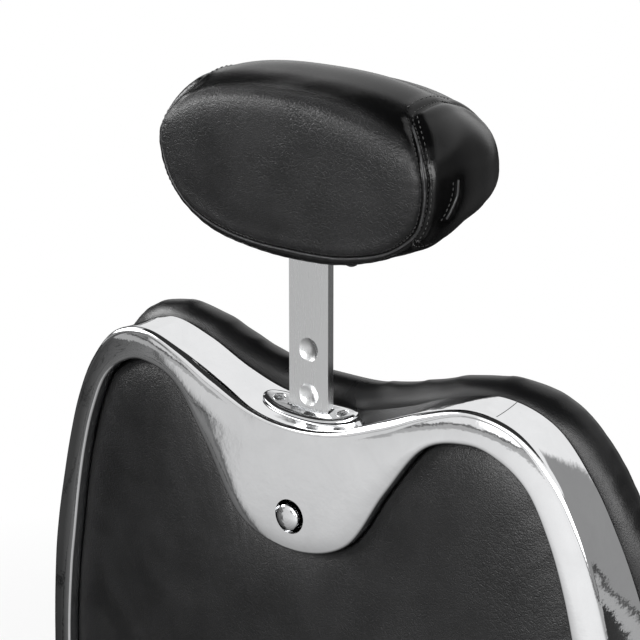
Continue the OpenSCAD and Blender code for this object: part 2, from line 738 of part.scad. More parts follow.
arm_pad_y = (arm_rear - arm_front) / 2;
pad_rows_shares = [[0.93, 0, 4], [1, 0.22, 4], [0.98, 0.6, 4], [0.82, 0.86, 4], [0.5, 0.98, 4]];
module arm_pad() {
    translate([arm_x, arm_pad_y, arm_top_z + slip]) skin(
        [for (r = pad_rows_shares)
            [for (p = oval(arm_pad_w / 2 * r[0], arm_pad_l / 2 - arm_pad_w / 2 * (1 - r[0]), r[2], 36))
                [p[0], p[1], arm_pad_h * r[1]]]],
        [[0, 0, 0], [0, 0, arm_pad_h]]);
}
module arm_pad_left() color("black") arm_pad();
module arm_pad_right() color("black") mirror([1, 0, 0]) arm_pad();

// Leg rest: two bent bars, with the pad and the foot plate between them
knee_y = -rail_front - leg_bar_w;
foot_y = -rail_front - leg_reach;
foot_z = rail_mid_z - leg_drop;
leg_x = rail_gap / 2 - leg_bar_t;
leg_slope = atan2(rail_mid_z - foot_z, knee_y - foot_y);
leg_run = norm([knee_y - foot_y, rail_mid_z - foot_z]);
foot_eye_wall = 9;
foot_eye_r = foot_pin_d / 2 + foot_eye_wall;
module leg_bars() {
    half = leg_bar_w / 2;
    root = leg_bar_w * 2;
    color("silver") difference() {
        mirrored() across(leg_x, leg_bar_t) {
            translate([knee_y, rail_mid_z - half]) square([-rail_front + root - knee_y, leg_bar_w]);
            translate([knee_y, rail_mid_z]) circle(r = half);
            translate([knee_y, rail_mid_z]) rotate(leg_slope + 180) translate([0, -half]) square([leg_run, leg_bar_w]);
            translate([foot_y, foot_z]) circle(r = half);
        }
        rod_x(-rail_out, 2 * rail_out, foot_pin_d / 2 + run, foot_y, foot_z);
    }
}

// Points along the sloping stretch, with a height above it on the sitter's side
function leg_at(along, up) = [0, knee_y - along * cos(leg_slope) - up * sin(leg_slope),
    rail_mid_z - along * sin(leg_slope) + up * cos(leg_slope)];
calf_mid = calf_l / 2 + leg_bar_w / 2;
calf_tube_gap = calf_l - 2 * leg_tube_d;
module on_leg(along, up) translate(leg_at(along, up)) rotate([leg_slope, 0, 0]) children();
module leg_crossbars() {
    color("silver") for (k = [-0.5, 0.5])
        translate(leg_at(calf_mid + k * calf_tube_gap, 0))
            rotate([0, 90, 0]) translate([0, 0, -leg_x]) cylinder(h = 2 * leg_x, d = leg_tube_d);
}
module calf_board() {
    color("black") on_leg(calf_mid, leg_tube_d / 2) translate([-calf_w / 2 + trim_inset, -calf_l / 2 + trim_inset, 0])
        cube([calf_w - 2 * trim_inset, calf_l - 2 * trim_inset, calf_board_t]);
}
calf_rows_shares = [[0.96, 0, 6], [1, 0.3, 6], [0.985, 0.66, 6], [0.9, 0.88, 5], [0.6, 0.99, 4]];
module calf_pad() {
    color("black") on_leg(calf_mid, leg_tube_d / 2 + calf_board_t + eps_t) skin(
        [for (r = calf_rows_shares)
            [for (p = oval(calf_w / 2 - calf_l / 2 * (1 - r[0]), calf_l / 2 * r[0], r[2], 40))
                [p[0], p[1], calf_t * r[1]]]],
        [[0, 0, 0], [0, 0, calf_t]]);
}

module foot_pins() {
    inner = foot_w / 2 + leg_bar_t / 2;
    color("silver") mirrored() {
        rod_x(foot_w / 2 - 2 * foot_t, rail_gap / 2 - foot_w / 2 + 2 * foot_t, foot_pin_d / 2, foot_y, foot_z);
        rod_x(rail_gap / 2, foot_pin_d / 2, foot_pin_d / 2 + leg_bar_t / 2, foot_y, foot_z);
    }
}

foot_top = foot_z + foot_pin_d;
module foot_plate() {
    color("gainsboro") difference() {
        union() {
            box([-foot_w / 2, foot_y - foot_l, foot_top - foot_t], [foot_w / 2, foot_y + foot_eye_r, foot_top]);
            mirrored() across(foot_w / 2 - foot_t, foot_t) {
                translate([foot_y, foot_z]) circle(r = foot_eye_r);
                translate([foot_y - foot_l / 2, foot_top - foot_t - foot_eye_r])
                    square([foot_l / 2, foot_eye_r]);
            }
        }
        rod_x(-rail_out, 2 * rail_out, foot_pin_d / 2 + run, foot_y, foot_z);
    }
}
module foot_tread() {
    rib_d = foot_l / (2 * foot_ribs + 1);
    rib_h = foot_t / 2;
    color("black") for (i = [0:foot_ribs - 1])
        box([-foot_w / 2 + foot_eye_r, foot_y - foot_l + rib_d * (2 * i + 1), foot_top],
            [foot_w / 2 - foot_eye_r, foot_y - foot_l + rib_d * (2 * i + 2), foot_top + rib_h]);
}

// Hand lever of the recline clamp, on the sitter's right
lever_rise_share = 0.18;
grip_z = clamp_z + lever_l * lever_rise_share + grip_d;
grip_y = hinge_y - lever_l;
module clamp_lever() {
    w = clamp_bolt_d;
    hub_r = clamp_bolt_d / 2 + w / 2;
    bend_y = hinge_y - lever_l / 2;
    x0 = rail_out + free_gap;
    color("silver") mirror([1, 0, 0]) difference() {
        union() {
            rod_x(x0, lever_x - x0 + eps_t, hub_r, hinge_y, clamp_z);
            across(lever_x, lever_t) {
                translate([hinge_y, clamp_z]) circle(r = hub_r);
                polygon([
                    [hinge_y, clamp_z - w / 2], [bend_y, grip_z - w / 2], [grip_y - grip_l / 2, grip_z - w / 2],
                    [grip_y - grip_l / 2, grip_z + w / 2], [bend_y, grip_z + w / 2], [hinge_y, clamp_z + w / 2]
                ]);
            }
        }
        rod_x(x0 - over, lever_x, clamp_bolt_d / 2 + run, hinge_y, clamp_z);
    }
}
module lever_grip() {
    hold = clamp_bolt_d / 2 + free_gap;
    color("black") mirror([1, 0, 0]) difference() {
        union() {
            rod_y(grip_y - grip_l + grip_d / 2, grip_l - grip_d / 2, grip_d / 2, lever_x + lever_t / 2, grip_z);
            translate([lever_x + lever_t / 2, grip_y - grip_l + grip_d / 2, grip_z]) sphere(d = grip_d);
        }
        box([lever_x - free_gap, grip_y - grip_l / 2 - free_gap, grip_z - hold],
            [lever_x + lever_t + free_gap, grip_y + over, grip_z + hold]);
    }
}

// Chrome frame: one section carried round between the band's outline and the lip's outline
function band_ring(inset, depth) = at_depth(towards(band_line, lip_line, inset), depth);
function front_ring(inset) = at_depth(towards(front_line, lip_line, inset), frame_depth);
function lip_ring(outset, depth) = at_depth(towards(lip_line, band_line, outset), depth);
edge_share = 0.29;      // how far a 45 degree point of an arc lies inside its corner
module back_frame() {
    e = edge_round;
    w = frame_wall;
    color("silver") difference() {
        skin([
            front_ring(0), band_ring(0, e), band_ring(e * edge_share, e * edge_share),
            band_ring(e, 0), lip_ring(bevel_w, 0), lip_ring(0, bevel_h), lip_ring(0, lip_depth),
            lip_ring(w, lip_depth), lip_ring(w, bevel_h + w), lip_ring(bevel_w + w / 2, w),
            band_ring(e + w / 2, w), band_ring(w, e + w / 2), front_ring(w)
        ]);
        rod_y(back_y - frame_depth / 2, frame_depth, button_hole_d / 2, 0, button_z);
        box([-bar_w / 2 - over, back_y - bar_depth - bar_t - over, dip_z - edge_round],
            [bar_w / 2 + over, back_y - bar_depth + over, dip_z + back_h / 4]);
        mirrored() box([bracket_x - over, back_y - sag(bracket_x) - board_depth - over, back_z - over],
            [bracket_x + bracket_t + over, back_y - sag(bracket_x) - lip_depth, back_z + back_h * lip_shares[16][1]]);
    }
}

panel_middle = [0, back_z + back_h / 2];
panel_near = lip_depth + slip;
// Share of the panel's outline, and share of its swell
flat_shares = [0.15, 0.32, 0.49, 0.66, 0.83, 1];
panel_rows_shares = [[0.99, 0.26], [0.96, 0.48], [0.88, 0.74], [0.66, 0.94], [0.3, 1]];
module rear_panel_board() {
    color("burlywood") back_plate(towards(lip_line, band_line, frame_wall), panel_near, panel_near + panel_board_t);
}
module rear_panel() {
    line = towards(lip_line, band_line, -slip);
    color("black") skin(concat(
        [for (k = flat_shares) at_depth(shrunk(line, panel_middle, k), panel_near - slip)],
        [for (r = panel_rows_shares)
            at_depth(shrunk(line, panel_middle, r[0]), panel_near - slip - panel_swell * r[1])]),
        [on_back(0, panel_near - slip, panel_middle[1]), on_back(0, panel_near - slip - panel_swell, panel_middle[1])]);
}

board_share = 0.79;     // where the board's rear side lies between the band's two edges
module back_board() {
    inset = frame_wall + slip;
    line = between(towards(band_line, lip_line, inset), towards(front_line, lip_line, inset), board_share);
    color("burlywood") difference() {
        back_plate(line, board_depth, frame_depth);
        // window that the latch yoke moves in
        box([-bar_w, back_y - frame_depth - over, button_z - guide_wall * 3],
            [bar_w, back_y - board_depth + over, button_z + guide_wall * 3]);
    }
}

// Front cushion: share from the band's line to the cushion's line, share of thickness, share of size
cushion_rows_shares = [[-0.25, 0, 1], [0.55, 0.07, 1], [1, 0.2, 1], [0.8, 0.36, 1], [0.1, 0.5, 1]];
cushion_front_shares = [[0.88, 0.62], [0.7, 0.78], [0.42, 0.93], [0.2, 0.985]];
function between(a, b, t) = [for (i = [0:len(a) - 1]) a[i] + (b[i] - a[i]) * t];
module back_cushion() {
    near = frame_depth + slip;
    color("black") skin(concat(
        [for (k = [0:len(flat_shares) - 2])
            at_depth(shrunk(front_line, panel_middle, flat_shares[k]), near)],
        [for (r = cushion_rows_shares)
            at_depth(between(front_line, cushion_line, r[0]), near + back_cushion_t * r[1])],
        [for (r = cushion_front_shares)
            at_depth(shrunk(front_line, panel_middle, r[0]), near + back_cushion_t * r[1])]),
        [on_back(0, near, panel_middle[1]), on_back(0, near + back_cushion_t, panel_middle[1])]);
}

// Bracket that carries the back on its hinge pin; the clamped one also has the quadrant
sector_r = slot_r + clamp_bolt_d;
sector_margin = 13;
module sector(r, a0, a1) intersection() {
    circle(r = r, $fn = 128);
    polygon(concat([[0, 0]], [for (i = [0:4]) let (a = a0 + (a1 - a0) * i / 4) 2 * r * [cos(a), sin(a)]]));
}
module curved_slot(a0, a1) {
    half = clamp_bolt_d / 2 + free_gap;
    difference() {
        sector(slot_r + half, a0, a1);
        circle(r = slot_r - half, $fn = 128);
    }
    for (a = [a0, a1]) translate(slot_r * [cos(a), sin(a)]) circle(r = half);
}
module hinge_bracket(clamped) {
    x0 = bracket_x;
    xm = x0 + bracket_t / 2;
    strip_y0 = back_y - sag(x0) - board_depth + frame_wall / 2;
    strip_y1 = back_y - sag(x0 + bracket_t) - panel_near - panel_board_t - free_gap;
    flange_z0 = back_z + back_h * band_shares[15][1] - bracket_flange_h / 4;
    top_z = flange_z0 + bracket_flange_h;
    difference() {
        union() {
            across(x0, bracket_t) difference() {
                union() {
                    translate([hinge_y, hinge_z]) circle(r = hinge_eye_r);
                    polygon([
                        [hinge_y, hinge_z], [strip_y1, hinge_z - hinge_eye_r / 4], [strip_y1, top_z],
                        [strip_y0, top_z], [strip_y0, back_z], [hinge_y - hinge_eye_r / 4, hinge_z + hinge_eye_r / 2]
                    ]);
                    if (clamped) translate([hinge_y, hinge_z])
                        sector(sector_r, 270 - sector_margin, 270 + recline_deg + sector_margin);
                }
                if (clamped) translate([hinge_y, hinge_z]) curved_slot(270, 270 + recline_deg);
            }
            // flange that lies flat on the back board, turned to follow its curve
            translate(on_back(xm, board_depth - frame_wall, flange_z0)) rotate(-asin(xm / back_curve_r))
                box([-bracket_flange_w / 2, -frame_wall + free_gap, 0], [bracket_flange_w / 2, 0, bracket_flange_h]);
        }
        rod_x(x0 - over, bracket_t + 2 * over, hinge_pin_d / 2 + run, hinge_y, hinge_z);
    }
}
module hinge_bracket_left() color("dimgray") hinge_bracket(false);
module hinge_bracket_right() color("dimgray") mirror([1, 0, 0]) hinge_bracket(true);

// Guides above and below the latch, each a flat tube with a foot on the back board
yoke_t = 5;
yoke_gap = 4;
yoke_side_gap = 1.4;
yoke_room = yoke_t / 2 + yoke_gap;
module bar_slot(z0, z1, gap) box([-bar_w / 2 - gap, back_y - bar_depth - bar_t - gap, z0], [bar_w / 2 + gap, back_y - bar_depth + gap, z1]);
module bar_guide(z0, z1) {
    foot = bar_w;
    difference() {
        union() {
            bar_slot(z0, z1, guide_wall);
            box([-foot, back_y - board_depth, z0], [foot, back_y - bar_depth - bar_t - guide_wall + eps_t, z1]);
        }
        bar_slot(z0 - over, z1 + over, free_gap);
    }
}
module bar_guides() {
    color("dimgray") {
        bar_guide(button_z + yoke_room, dip_z - edge_round);
        bar_guide(dip_z - guide_l, button_z - yoke_room);
    }
}

// Bridge on the rear of the guides that the button's stem slides in
stem_r = 3;
bridge_t = 2;
bridge_depth = guide_depth - yoke_t - button_travel;
module latch_bracket() {
    half = button_d / 2;
    leg = yoke_room + 3 * bridge_t;
    front = back_y - guide_depth;
    color("silver") difference() {
        union() {
            box([-half, back_y - bridge_depth - bridge_t, button_z - leg], [half, back_y - bridge_depth, button_z + leg]);
            for (s = [-1, 1]) translate([0, 0, s * (yoke_room + 2 * bridge_t)])
                box([-half, front, button_z - bridge_t], [half, back_y - bridge_depth, button_z + bridge_t]);
        }
        rod_y(front - over, frame_depth, stem_r + run, 0, button_z);
    }
}

spring_r = 5.5;
spring_wire = 0.8;
module latch_spring() {
    color("gray") for (i = [0:1])
        translate([0, back_y - bridge_depth + spring_wire + i * 2 * spring_wire, button_z]) rotate([90, 0, 0])
            rotate_extrude($fn = 48) translate([spring_r, 0]) circle(r = spring_wire, $fn = 16);
}

cap_depth = bridge_depth - 4 * spring_wire - button_travel - free_gap;
module push_button() {
    r = button_d / 2;
    dome = button_proud / 2;
    color("silver") translate([0, back_y, button_z]) rotate([-90, 0, 0]) rotate_extrude($fn = 96) polygon(concat(
        [[0, -guide_depth + yoke_t + free_gap], [stem_r, -guide_depth + yoke_t + free_gap], [stem_r, -cap_depth],
            [r, -cap_depth], [r, button_proud - dome]],
        [for (i = [1:6]) [r * cos(15 * i), button_proud - dome + dome * sin(15 * i)]]));
}

// Stirrup round the bar: the button pushes it forward, which draws its nose off the bar
module latch_yoke() {
    side = bar_w / 2 + yoke_side_gap;
    rear = back_y - guide_depth + yoke_t + free_gap;
    nose = bar_depth + bar_t + slip;
    front_bar = 3;
    outer = side + front_bar;
    color("dimgray") difference() {
        union() {
            box([-outer, back_y - nose - 2 * front_bar, button_z - yoke_t / 2], [outer, rear, button_z + yoke_t / 2]);
        }
        box([-side, back_y - nose - front_bar, button_z - yoke_t], [side, rear - front_bar, button_z + yoke_t]);
    }
    color("dimgray") box([-front_bar, back_y - nose - front_bar, button_z - yoke_t / 2],
        [front_bar, back_y - nose, button_z + yoke_t / 2]);
}

// Oval plate that lies in the dip of the band, round the bar
plate_r = 200;
plate_y = back_y - bar_depth - bar_t / 2;
band_rise = back_h * (front_shares[0][1] - band_shares[0][1]);
band_slope = atan(band_rise / (frame_depth - edge_round));
plate_z = dip_z + (back_y - plate_y - edge_round) * tan(band_slope) + slip;
screw_head_r = 4.5;
screw_head_h = 2.2;
screw_tip = asin(plate_screw_gap / 2 / plate_r);
module on_dip() translate([0, plate_y, plate_z]) rotate([-band_slope, 0, 0]) children();
module dip_cylinder(r) translate([0, frame_depth, plate_r]) rotate([90, 0, 0]) cylinder(h = 2 * frame_depth, r = r, $fn = 360);
module countersunk(gap, shank) {
    shank_r = screw_head_r - screw_head_h + gap;
    for (s = [-1, 1]) translate([0, 0, plate_r]) rotate([0, -s * screw_tip, 0]) translate([0, 0, -plate_r + plate_t]) {
        translate([0, 0, -screw_head_h]) cylinder(h = screw_head_h, r1 = shank_r, r2 = screw_head_r + gap);
        translate([0, 0, -shank]) cylinder(h = shank, r = shank_r);
    }
}
module slot_plate() {
    color("silver") difference() {
        on_dip() intersection() {
            translate([0, 0, -over]) linear_extrude(plate_l) polygon(oval(plate_l / 2, plate_w / 2, 2.4, 64));
            difference() {
                dip_cylinder(plate_r);
                dip_cylinder(plate_r - plate_t);
            }
            box([-plate_l, -plate_l, -over], [plate_l, plate_l, plate_l / 4]);
        }
        bar_slot(plate_z - plate_l / 4, plate_z + plate_l, free_gap);
        on_dip() countersunk(run, plate_t + over);
    }
}
module plate_screws() {
    color("silver") difference() {
        on_dip() countersunk(0, plate_t - slip);
        on_dip() for (s = [-1, 1])
            translate([0, 0, plate_r]) rotate([0, -s * screw_tip, 0]) translate([0, 0, -plate_r + plate_t - screw_head_h / 2])
                cylinder(h = screw_head_h, r = screw_head_r / 2, $fn = hex_fn);
    }
}

// Flat bar with locating dimples and a knuckle for the tilt pin
dimple_sphere_r = (dimple_d * dimple_d / 4 + dimple_depth * dimple_depth) / (2 * dimple_depth);
first_dimple = dip_z + 51.5;
module headrest_bar() {
    color("gainsboro") difference() {
        union() {
            box([-bar_w / 2, back_y - bar_depth - bar_t, bar_z0], [bar_w / 2, back_y - bar_depth, tilt_z]);
            rod_x(-bar_w / 2, bar_w, knuckle_d / 2, tilt_y, tilt_z);
        }
        rod_x(-bar_w, 2 * bar_w, tilt_pin_d / 2 + run, tilt_y, tilt_z);
        for (i = [0:dimples - 1])
            translate([0, back_y - bar_depth - dimple_depth + dimple_sphere_r, first_dimple - i * dimple_pitch])
                sphere(r = dimple_sphere_r, $fn = 96);
    }
}

// Headrest cushion: rows from the rear face to the front, each with shares of half the width,
// of half the height above and below the middle, of the depth, and the power of the upper half
head_rows_shares = [
    [0.4, 0.34, 0.48, -0.055, 2.1], [0.68, 0.6, 0.82, -0.035, 2.1], [0.848, 0.77, 1.04, 0, 2.1],
    [0.932, 0.8, 1.024, 0.057, 2.1], [0.96, 0.816, 1.03, 0.132, 2.3], [1, 0.912, 1.016, 0.302, 2.6],
    [1, 0.984, 0.848, 0.5, 2.6], [0.976, 0.88, 0.72, 0.698, 2.7], [0.896, 0.776, 0.544, 0.877, 2.8],
    [0.752, 0.552, 0.352, 0.972, 2.8], [0.4, 0.28, 0.18, 1, 2.6]
];
head_end_shares = [-0.06, 1.005];   // depth of the middle of the rear face and of the front
head_lean = 6.7;                    // lean of the rear face, in degrees, which fades to the front
head_low_power = 2.5;
head_n = 48;
head_board_t = 7;
head_board_w_share = 0.7;
hinge_ear_t = 3;
hinge_side_gap = 1;
pocket_side = 10;      // room beside the bar in the cushion's pocket
pocket_end = 13;       // room ahead of and behind the tilt pin
pocket_w = bar_w + 2 * pocket_side;
pocket_d = 2 * (knuckle_d / 2 + pocket_end);
seat_plate_t = 2.5;
hinge_top_z = tilt_z + knuckle_d / 2 + hinge_side_gap;
board_w = head_w * head_board_w_share;
board_d = pocket_d + 2 * hinge_ear_t;
cap_r = 4;
cap_out = 3;
cap_in = 5;
cap_x = -pocket_w / 2 - 2 * cap_r;
module headrest_cushion() {
    color("black") difference() {
        translate([0, head_y, head_z]) skin(
            [for (r = head_rows_shares)
                [for (p = egg(head_w / 2 * r[0], head_h / 2 * r[1], head_h / 2 * r[2], r[4], head_n))
                    [p[0], p[1] * tan(head_lean) * (1 - r[3]) - head_d * r[3], p[1]]]],
            [for (k = head_end_shares) [0, -head_d * k, 0]]);
        // pocket for the tilt hinge, open below, and the slot for the board above it
        box([-pocket_w / 2, tilt_y - pocket_d / 2, head_z - head_h], [pocket_w / 2, tilt_y + pocket_d / 2, hinge_top_z + over]);
        box([-board_w / 2, tilt_y - board_d / 2, hinge_top_z], [board_w / 2, tilt_y + board_d / 2, hinge_top_z + seat_plate_t + head_board_t]);
        translate([cap_x, tilt_y, head_z - head_h]) cylinder(h = head_h / 2 + cap_in, r = cap_r + free_gap, $fn = 32);
    }
}
module headrest_board() {
    color("burlywood") box([-board_w / 2 + slip, tilt_y - board_d / 2 + slip, hinge_top_z + seat_plate_t],
        [board_w / 2 - slip, tilt_y + board_d / 2 - slip, hinge_top_z + seat_plate_t + head_board_t]);
}
module tilt_bracket() {
    x0 = bar_w / 2 + hinge_side_gap;
    color("silver") difference() {
        union() {
            box([-x0 - hinge_ear_t, tilt_y - pocket_d / 2 + slip, hinge_top_z],
                [x0 + hinge_ear_t, tilt_y + pocket_d / 2 - slip, hinge_top_z + seat_plate_t]);
            mirrored() across(x0, hinge_ear_t) {
                translate([tilt_y, tilt_z]) circle(d = knuckle_d);
                translate([tilt_y - knuckle_d / 2, tilt_z]) square([knuckle_d, hinge_top_z - tilt_z]);
            }
        }
        rod_x(-bar_w, 2 * bar_w, tilt_pin_d / 2 + run, tilt_y, tilt_z);
    }
}
module tilt_pin() {
    half = bar_w / 2 + hinge_side_gap + hinge_ear_t + hinge_side_gap;
    color("silver") rod_x(-half, 2 * half, tilt_pin_d / 2, tilt_y, tilt_z);
}
// Round cap of the hinge's tension screw, below the cushion
module tension_cap() {
    color("black") translate([cap_x, tilt_y, head_z - head_h / 2 - cap_out])
        cylinder(h = cap_out + cap_in, r = cap_r, $fn = 32);
}

foot_ring();
base_dome();
base_ballast();
pump_housing();
pump_barrel();
gland_cap();
flange_bolts();
pedal_bracket();
pedal_pin();
pedal_lever();
pedal_tread();
lift_ram();
thrust_washer();
swivel_hub();
centre_plate();
crossbar(-crossbar_y);  // crossbar_front
crossbar(crossbar_y);  // crossbar_rear
rail_left();
rail_right();
hinge_pins();
hinge_washers();
clamp_bolt();
seat_board();
seat_trim();
seat_cushion();
arm_tube_left();
arm_tube_right();
arm_pad_left();
arm_pad_right();
leg_bars();
leg_crossbars();
calf_board();
calf_pad();
foot_pins();
foot_plate();
foot_tread();
clamp_lever();
lever_grip();
back_frame();
rear_panel_board();
rear_panel();
back_board();
back_cushion();
hinge_bracket_left();
hinge_bracket_right();
bar_guides();
latch_bracket();
latch_spring();
slot_plate();
plate_screws();
push_button();
latch_yoke();
headrest_bar();
headrest_cushion();
headrest_board();
tilt_bracket();
tilt_pin();
tension_cap();
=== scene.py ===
# Hairdressing chair: chrome, leather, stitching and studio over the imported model
import bpy
import math
import numpy as np
from mathutils import Matrix, Vector
from mathutils.bvhtree import BVHTree


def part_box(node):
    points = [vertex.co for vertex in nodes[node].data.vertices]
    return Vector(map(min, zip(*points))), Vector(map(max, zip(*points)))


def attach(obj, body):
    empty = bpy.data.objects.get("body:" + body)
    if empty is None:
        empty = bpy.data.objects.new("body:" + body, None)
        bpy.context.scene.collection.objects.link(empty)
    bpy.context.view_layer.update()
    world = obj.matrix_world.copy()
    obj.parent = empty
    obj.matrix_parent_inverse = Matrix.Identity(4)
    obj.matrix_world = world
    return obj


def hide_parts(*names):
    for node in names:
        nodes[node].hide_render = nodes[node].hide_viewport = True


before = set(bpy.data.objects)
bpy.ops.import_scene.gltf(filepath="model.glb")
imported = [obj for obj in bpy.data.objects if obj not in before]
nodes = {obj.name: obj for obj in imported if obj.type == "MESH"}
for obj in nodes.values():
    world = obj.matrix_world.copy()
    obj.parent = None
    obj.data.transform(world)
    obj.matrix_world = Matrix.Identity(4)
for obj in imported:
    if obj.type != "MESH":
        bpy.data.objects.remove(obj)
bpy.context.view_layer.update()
scene = bpy.context.scene
MM = 0.001

# Sizes of the back, in metres, repeated from the part's source
back_y = 0.300
dip_z = 0.999738
curve_r = 1.5
frame_depth = 0.040
frame_wall = 0.003
bead_r = 0.004
slope_bead = 0.0032
side_bulge = -0.0008
lip_r = 0.002
lip_depth = 0.0115
board_depth = 0.0123
crown = 0.0041
rim_fall = 0.0007
rim_reach = 0.007
tongue_fall = 0.00096
tongue_reach = 0.018
button_z = 0.932738
button_hole_r = 0.01275
bar_half = 0.0175
bar_rear_y = 0.278
bar_front_y = 0.272
cushion_t = 0.082
panel_middle_z = 0.443 + 0.598 / 2

# Half outlines of the back: (x, z) in millimetres from the middle and the dip, from the top round to the foot
band_rear = [
    (0, 0), (37.8, 4.6), (73.4, 18.1), (108.6, 31.9), (146.1, 40.7), (181.9, 31.6), (208.9, 4.3),
    (227.3, -29.4), (240, -65.2), (250.2, -101.9), (259.2, -138.8), (265.4, -176.3), (270, -235),
    (271, -310), (264, -391), (246, -460), (211, -512), (160, -540), (80, -548), (0, -549)]
band_front = [
    (0, 9), (36, 10), (73, 20), (110, 34), (150, 41.15), (188, 28), (216, -6),
    (235, -42), (249, -76), (260, -110), (270, -146), (277, -182), (281, -237),
    (281, -310), (273, -391), (255, -463), (220, -518), (168, -547.5), (84, -555.5), (0, -556.85)]
opening = [
    (0, -93.2), (48, -79), (81, -32), (112, 7.2), (145.4, 17), (170, 10.5), (191, -7),
    (207, -38.4), (218, -71.3), (226.4, -106.5), (233.3, -143.8), (239.6, -180.6), (245, -237),
    (245, -309), (238, -385), (221, -449), (192, -492), (150, -515), (76, -523.5), (0, -525)]
cushion_edge = [
    (0, 28), (39, 29), (77, 37), (115, 48), (155, 51), (192, 39), (220, 11),
    (240, -23), (258, -58), (272, -95), (283, -137), (290, -182), (294, -237),
    (294, -312), (286, -394), (266, -467), (229, -527), (171, -558), (85, -566), (0, -567)]

# Sizes of the headrest, and its rows: depth, half width, top and bottom in millimetres, power of the top
head_z = 1.187738
head_rear_y = 0.306
head_depth = 106.5
head_lean = math.tan(math.radians(6.7))
head_low_power = 2.5
head_rows = np.array([
    (-6.2, 10, 5, 7, 2.1), (-5.9, 40, 18, 27, 2.1), (-5.2, 64, 28.5, 42, 2.1), (-4.0, 82, 36.5, 53.5, 2.1),
    (-2.2, 95.5, 42, 61, 2.1), (0.4, 106.2, 46.2, 65, 2.1), (4, 113.6, 48.9, 64.8, 2.1),
    (8.5, 117.9, 50.9, 64.1, 2.15), (14, 120.1, 53.0, 64.4, 2.3), (32, 124.9, 58.9, 63.5, 2.6),
    (53, 125, 61.9, 52.9, 2.5), (74, 122.3, 54.8, 45.1, 2.45), (93, 111.7, 48.7, 34.1, 2.45),
    (103, 93.7, 34.6, 22, 2.5), (106.2, 50, 18, 11, 2.6), (106.5, 10, 4, 3, 2.4)])


class Nodes:
    """A node tree with short ways of adding to it; a value is a plain one or another node's socket."""

    def __init__(self, tree):
        self.tree = tree

    def feed(self, target, value):
        if isinstance(value, bpy.types.NodeSocket):
            self.tree.links.new(value, target)
        else:
            target.default_value = value

    def add(self, kind, inputs=None, **settings):
        """A new node with its own settings, and with its inputs by name or by place."""
        node = self.tree.nodes.new(kind)
        for name, value in settings.items():
            setattr(node, name, value)
        for key, value in (inputs or {}).items():
            self.feed(node.inputs[key], value)
        return node

    def maths(self, operation, a, b=0.0, c=0.0):
        return self.add("ShaderNodeMath", {0: a, 1: b, 2: c}, operation=operation).outputs[0]

    def spread(self, fac, low, high, out_low=0.0, out_high=1.0):
        """The part of fac between low and high, spread from out_low to out_high."""
        sizes = {"Value": fac, "From Min": low, "From Max": high, "To Min": out_low, "To Max": out_high}
        return self.add("ShaderNodeMapRange", sizes).outputs["Result"]

    def cells(self, scale, place):
        """Distance from the borders of random cells."""
        sizes = {"Vector": place, "Scale": scale}
        return self.add("ShaderNodeTexVoronoi", sizes, feature="DISTANCE_TO_EDGE").outputs["Distance"]

    def ramp(self, fac, stops):
        """The colour at fac between stops of (place, colour)."""
        node = self.add("ShaderNodeValToRGB", {"Fac": fac})
        elements = node.color_ramp.elements
        while len(elements) < len(stops):
            elements.new(0.5)
        for element, (place, colour) in zip(elements, stops):
            element.position = place
            element.color = (*colour, 1)
        return node.outputs["Color"]

    def blend(self, fac, first, second):
        return self.add("ShaderNodeMixShader", {"Fac": fac, 1: first, 2: second}).outputs["Shader"]

    def by_ray(self, output, lit, mirrored, seen):
        """The output, with one shader for mirrored rays, one for the camera and one for the rest."""
        path = self.add("ShaderNodeLightPath").outputs
        others = self.blend(path["Is Glossy Ray"], lit, mirrored)
        self.add(output, {"Surface": self.blend(path["Is Camera Ray"], others, seen)})


class Finish(Nodes):
    """One node material: Object coordinates, patterns, bumps and a single Principled shader."""

    def __init__(self, name, colour, roughness, metallic=0.0, specular=0.5, sheen=0.0):
        self.material = bpy.data.materials.new(name)
        self.material.use_nodes = True
        super().__init__(self.material.node_tree)
        self.shader = self.tree.nodes["Principled BSDF"]
        self.set("Base Color", (*colour, 1))
        self.set("Roughness", roughness)
        self.set("Metallic", metallic)
        self.set("Specular IOR Level", specular)
        self.set("Sheen Weight", sheen)
        self.set("Sheen Roughness", 0.45)
        self.place = self.add("ShaderNodeTexCoord").outputs["Object"]
        self.normal = None
        self.material.diffuse_color = (*colour, 1)

    def set(self, socket, value):
        self.feed(self.shader.inputs[socket], value)

    def stretched(self, scale):
        return self.add("ShaderNodeMapping", {"Vector": self.place, "Scale": scale}).outputs["Vector"]

    def noise(self, scale, detail=3, roughness=0.6, distortion=0.0, place=None):
        return self.add("ShaderNodeTexNoise", {
            "Vector": place or self.place, "Scale": scale, "Detail": detail, "Roughness": roughness,
            "Distortion": distortion}).outputs["Fac"]

    def waves(self, scale, distortion, direction):
        sizes = {"Vector": self.place, "Scale": scale, "Distortion": distortion, "Detail": 3}
        return self.add("ShaderNodeTexWave", sizes, bands_direction=direction).outputs["Fac"]

    def warped(self, amount, scale):
        """Object coordinates pushed about by a noise, so that a grain wanders."""
        push = self.add("ShaderNodeTexNoise", {"Vector": self.place, "Scale": scale, "Detail": 2})
        parts = {0: push.outputs["Color"], 1: (amount, amount, amount), 2: self.place}
        return self.add("ShaderNodeVectorMath", parts, operation="MULTIPLY_ADD").outputs["Vector"]

    def bump(self, height, distance, strength):
        """One more bump on top of those already there."""
        node = self.add("ShaderNodeBump", {"Distance": distance, "Strength": strength, "Height": height})
        if self.normal is not None:
            self.feed(node.inputs["Normal"], self.normal)
        self.normal = node.outputs["Normal"]
        self.set("Normal", self.normal)

    def colours(self, fac, stops):
        self.set("Base Color", self.ramp(fac, stops))

    def finished(self, fac, stops, low, high):
        """The material, with its colour and its roughness changing along fac."""
        self.colours(fac, stops)
        self.set("Roughness", self.spread(fac, 0.3, 0.7, low, high))
        return self.material


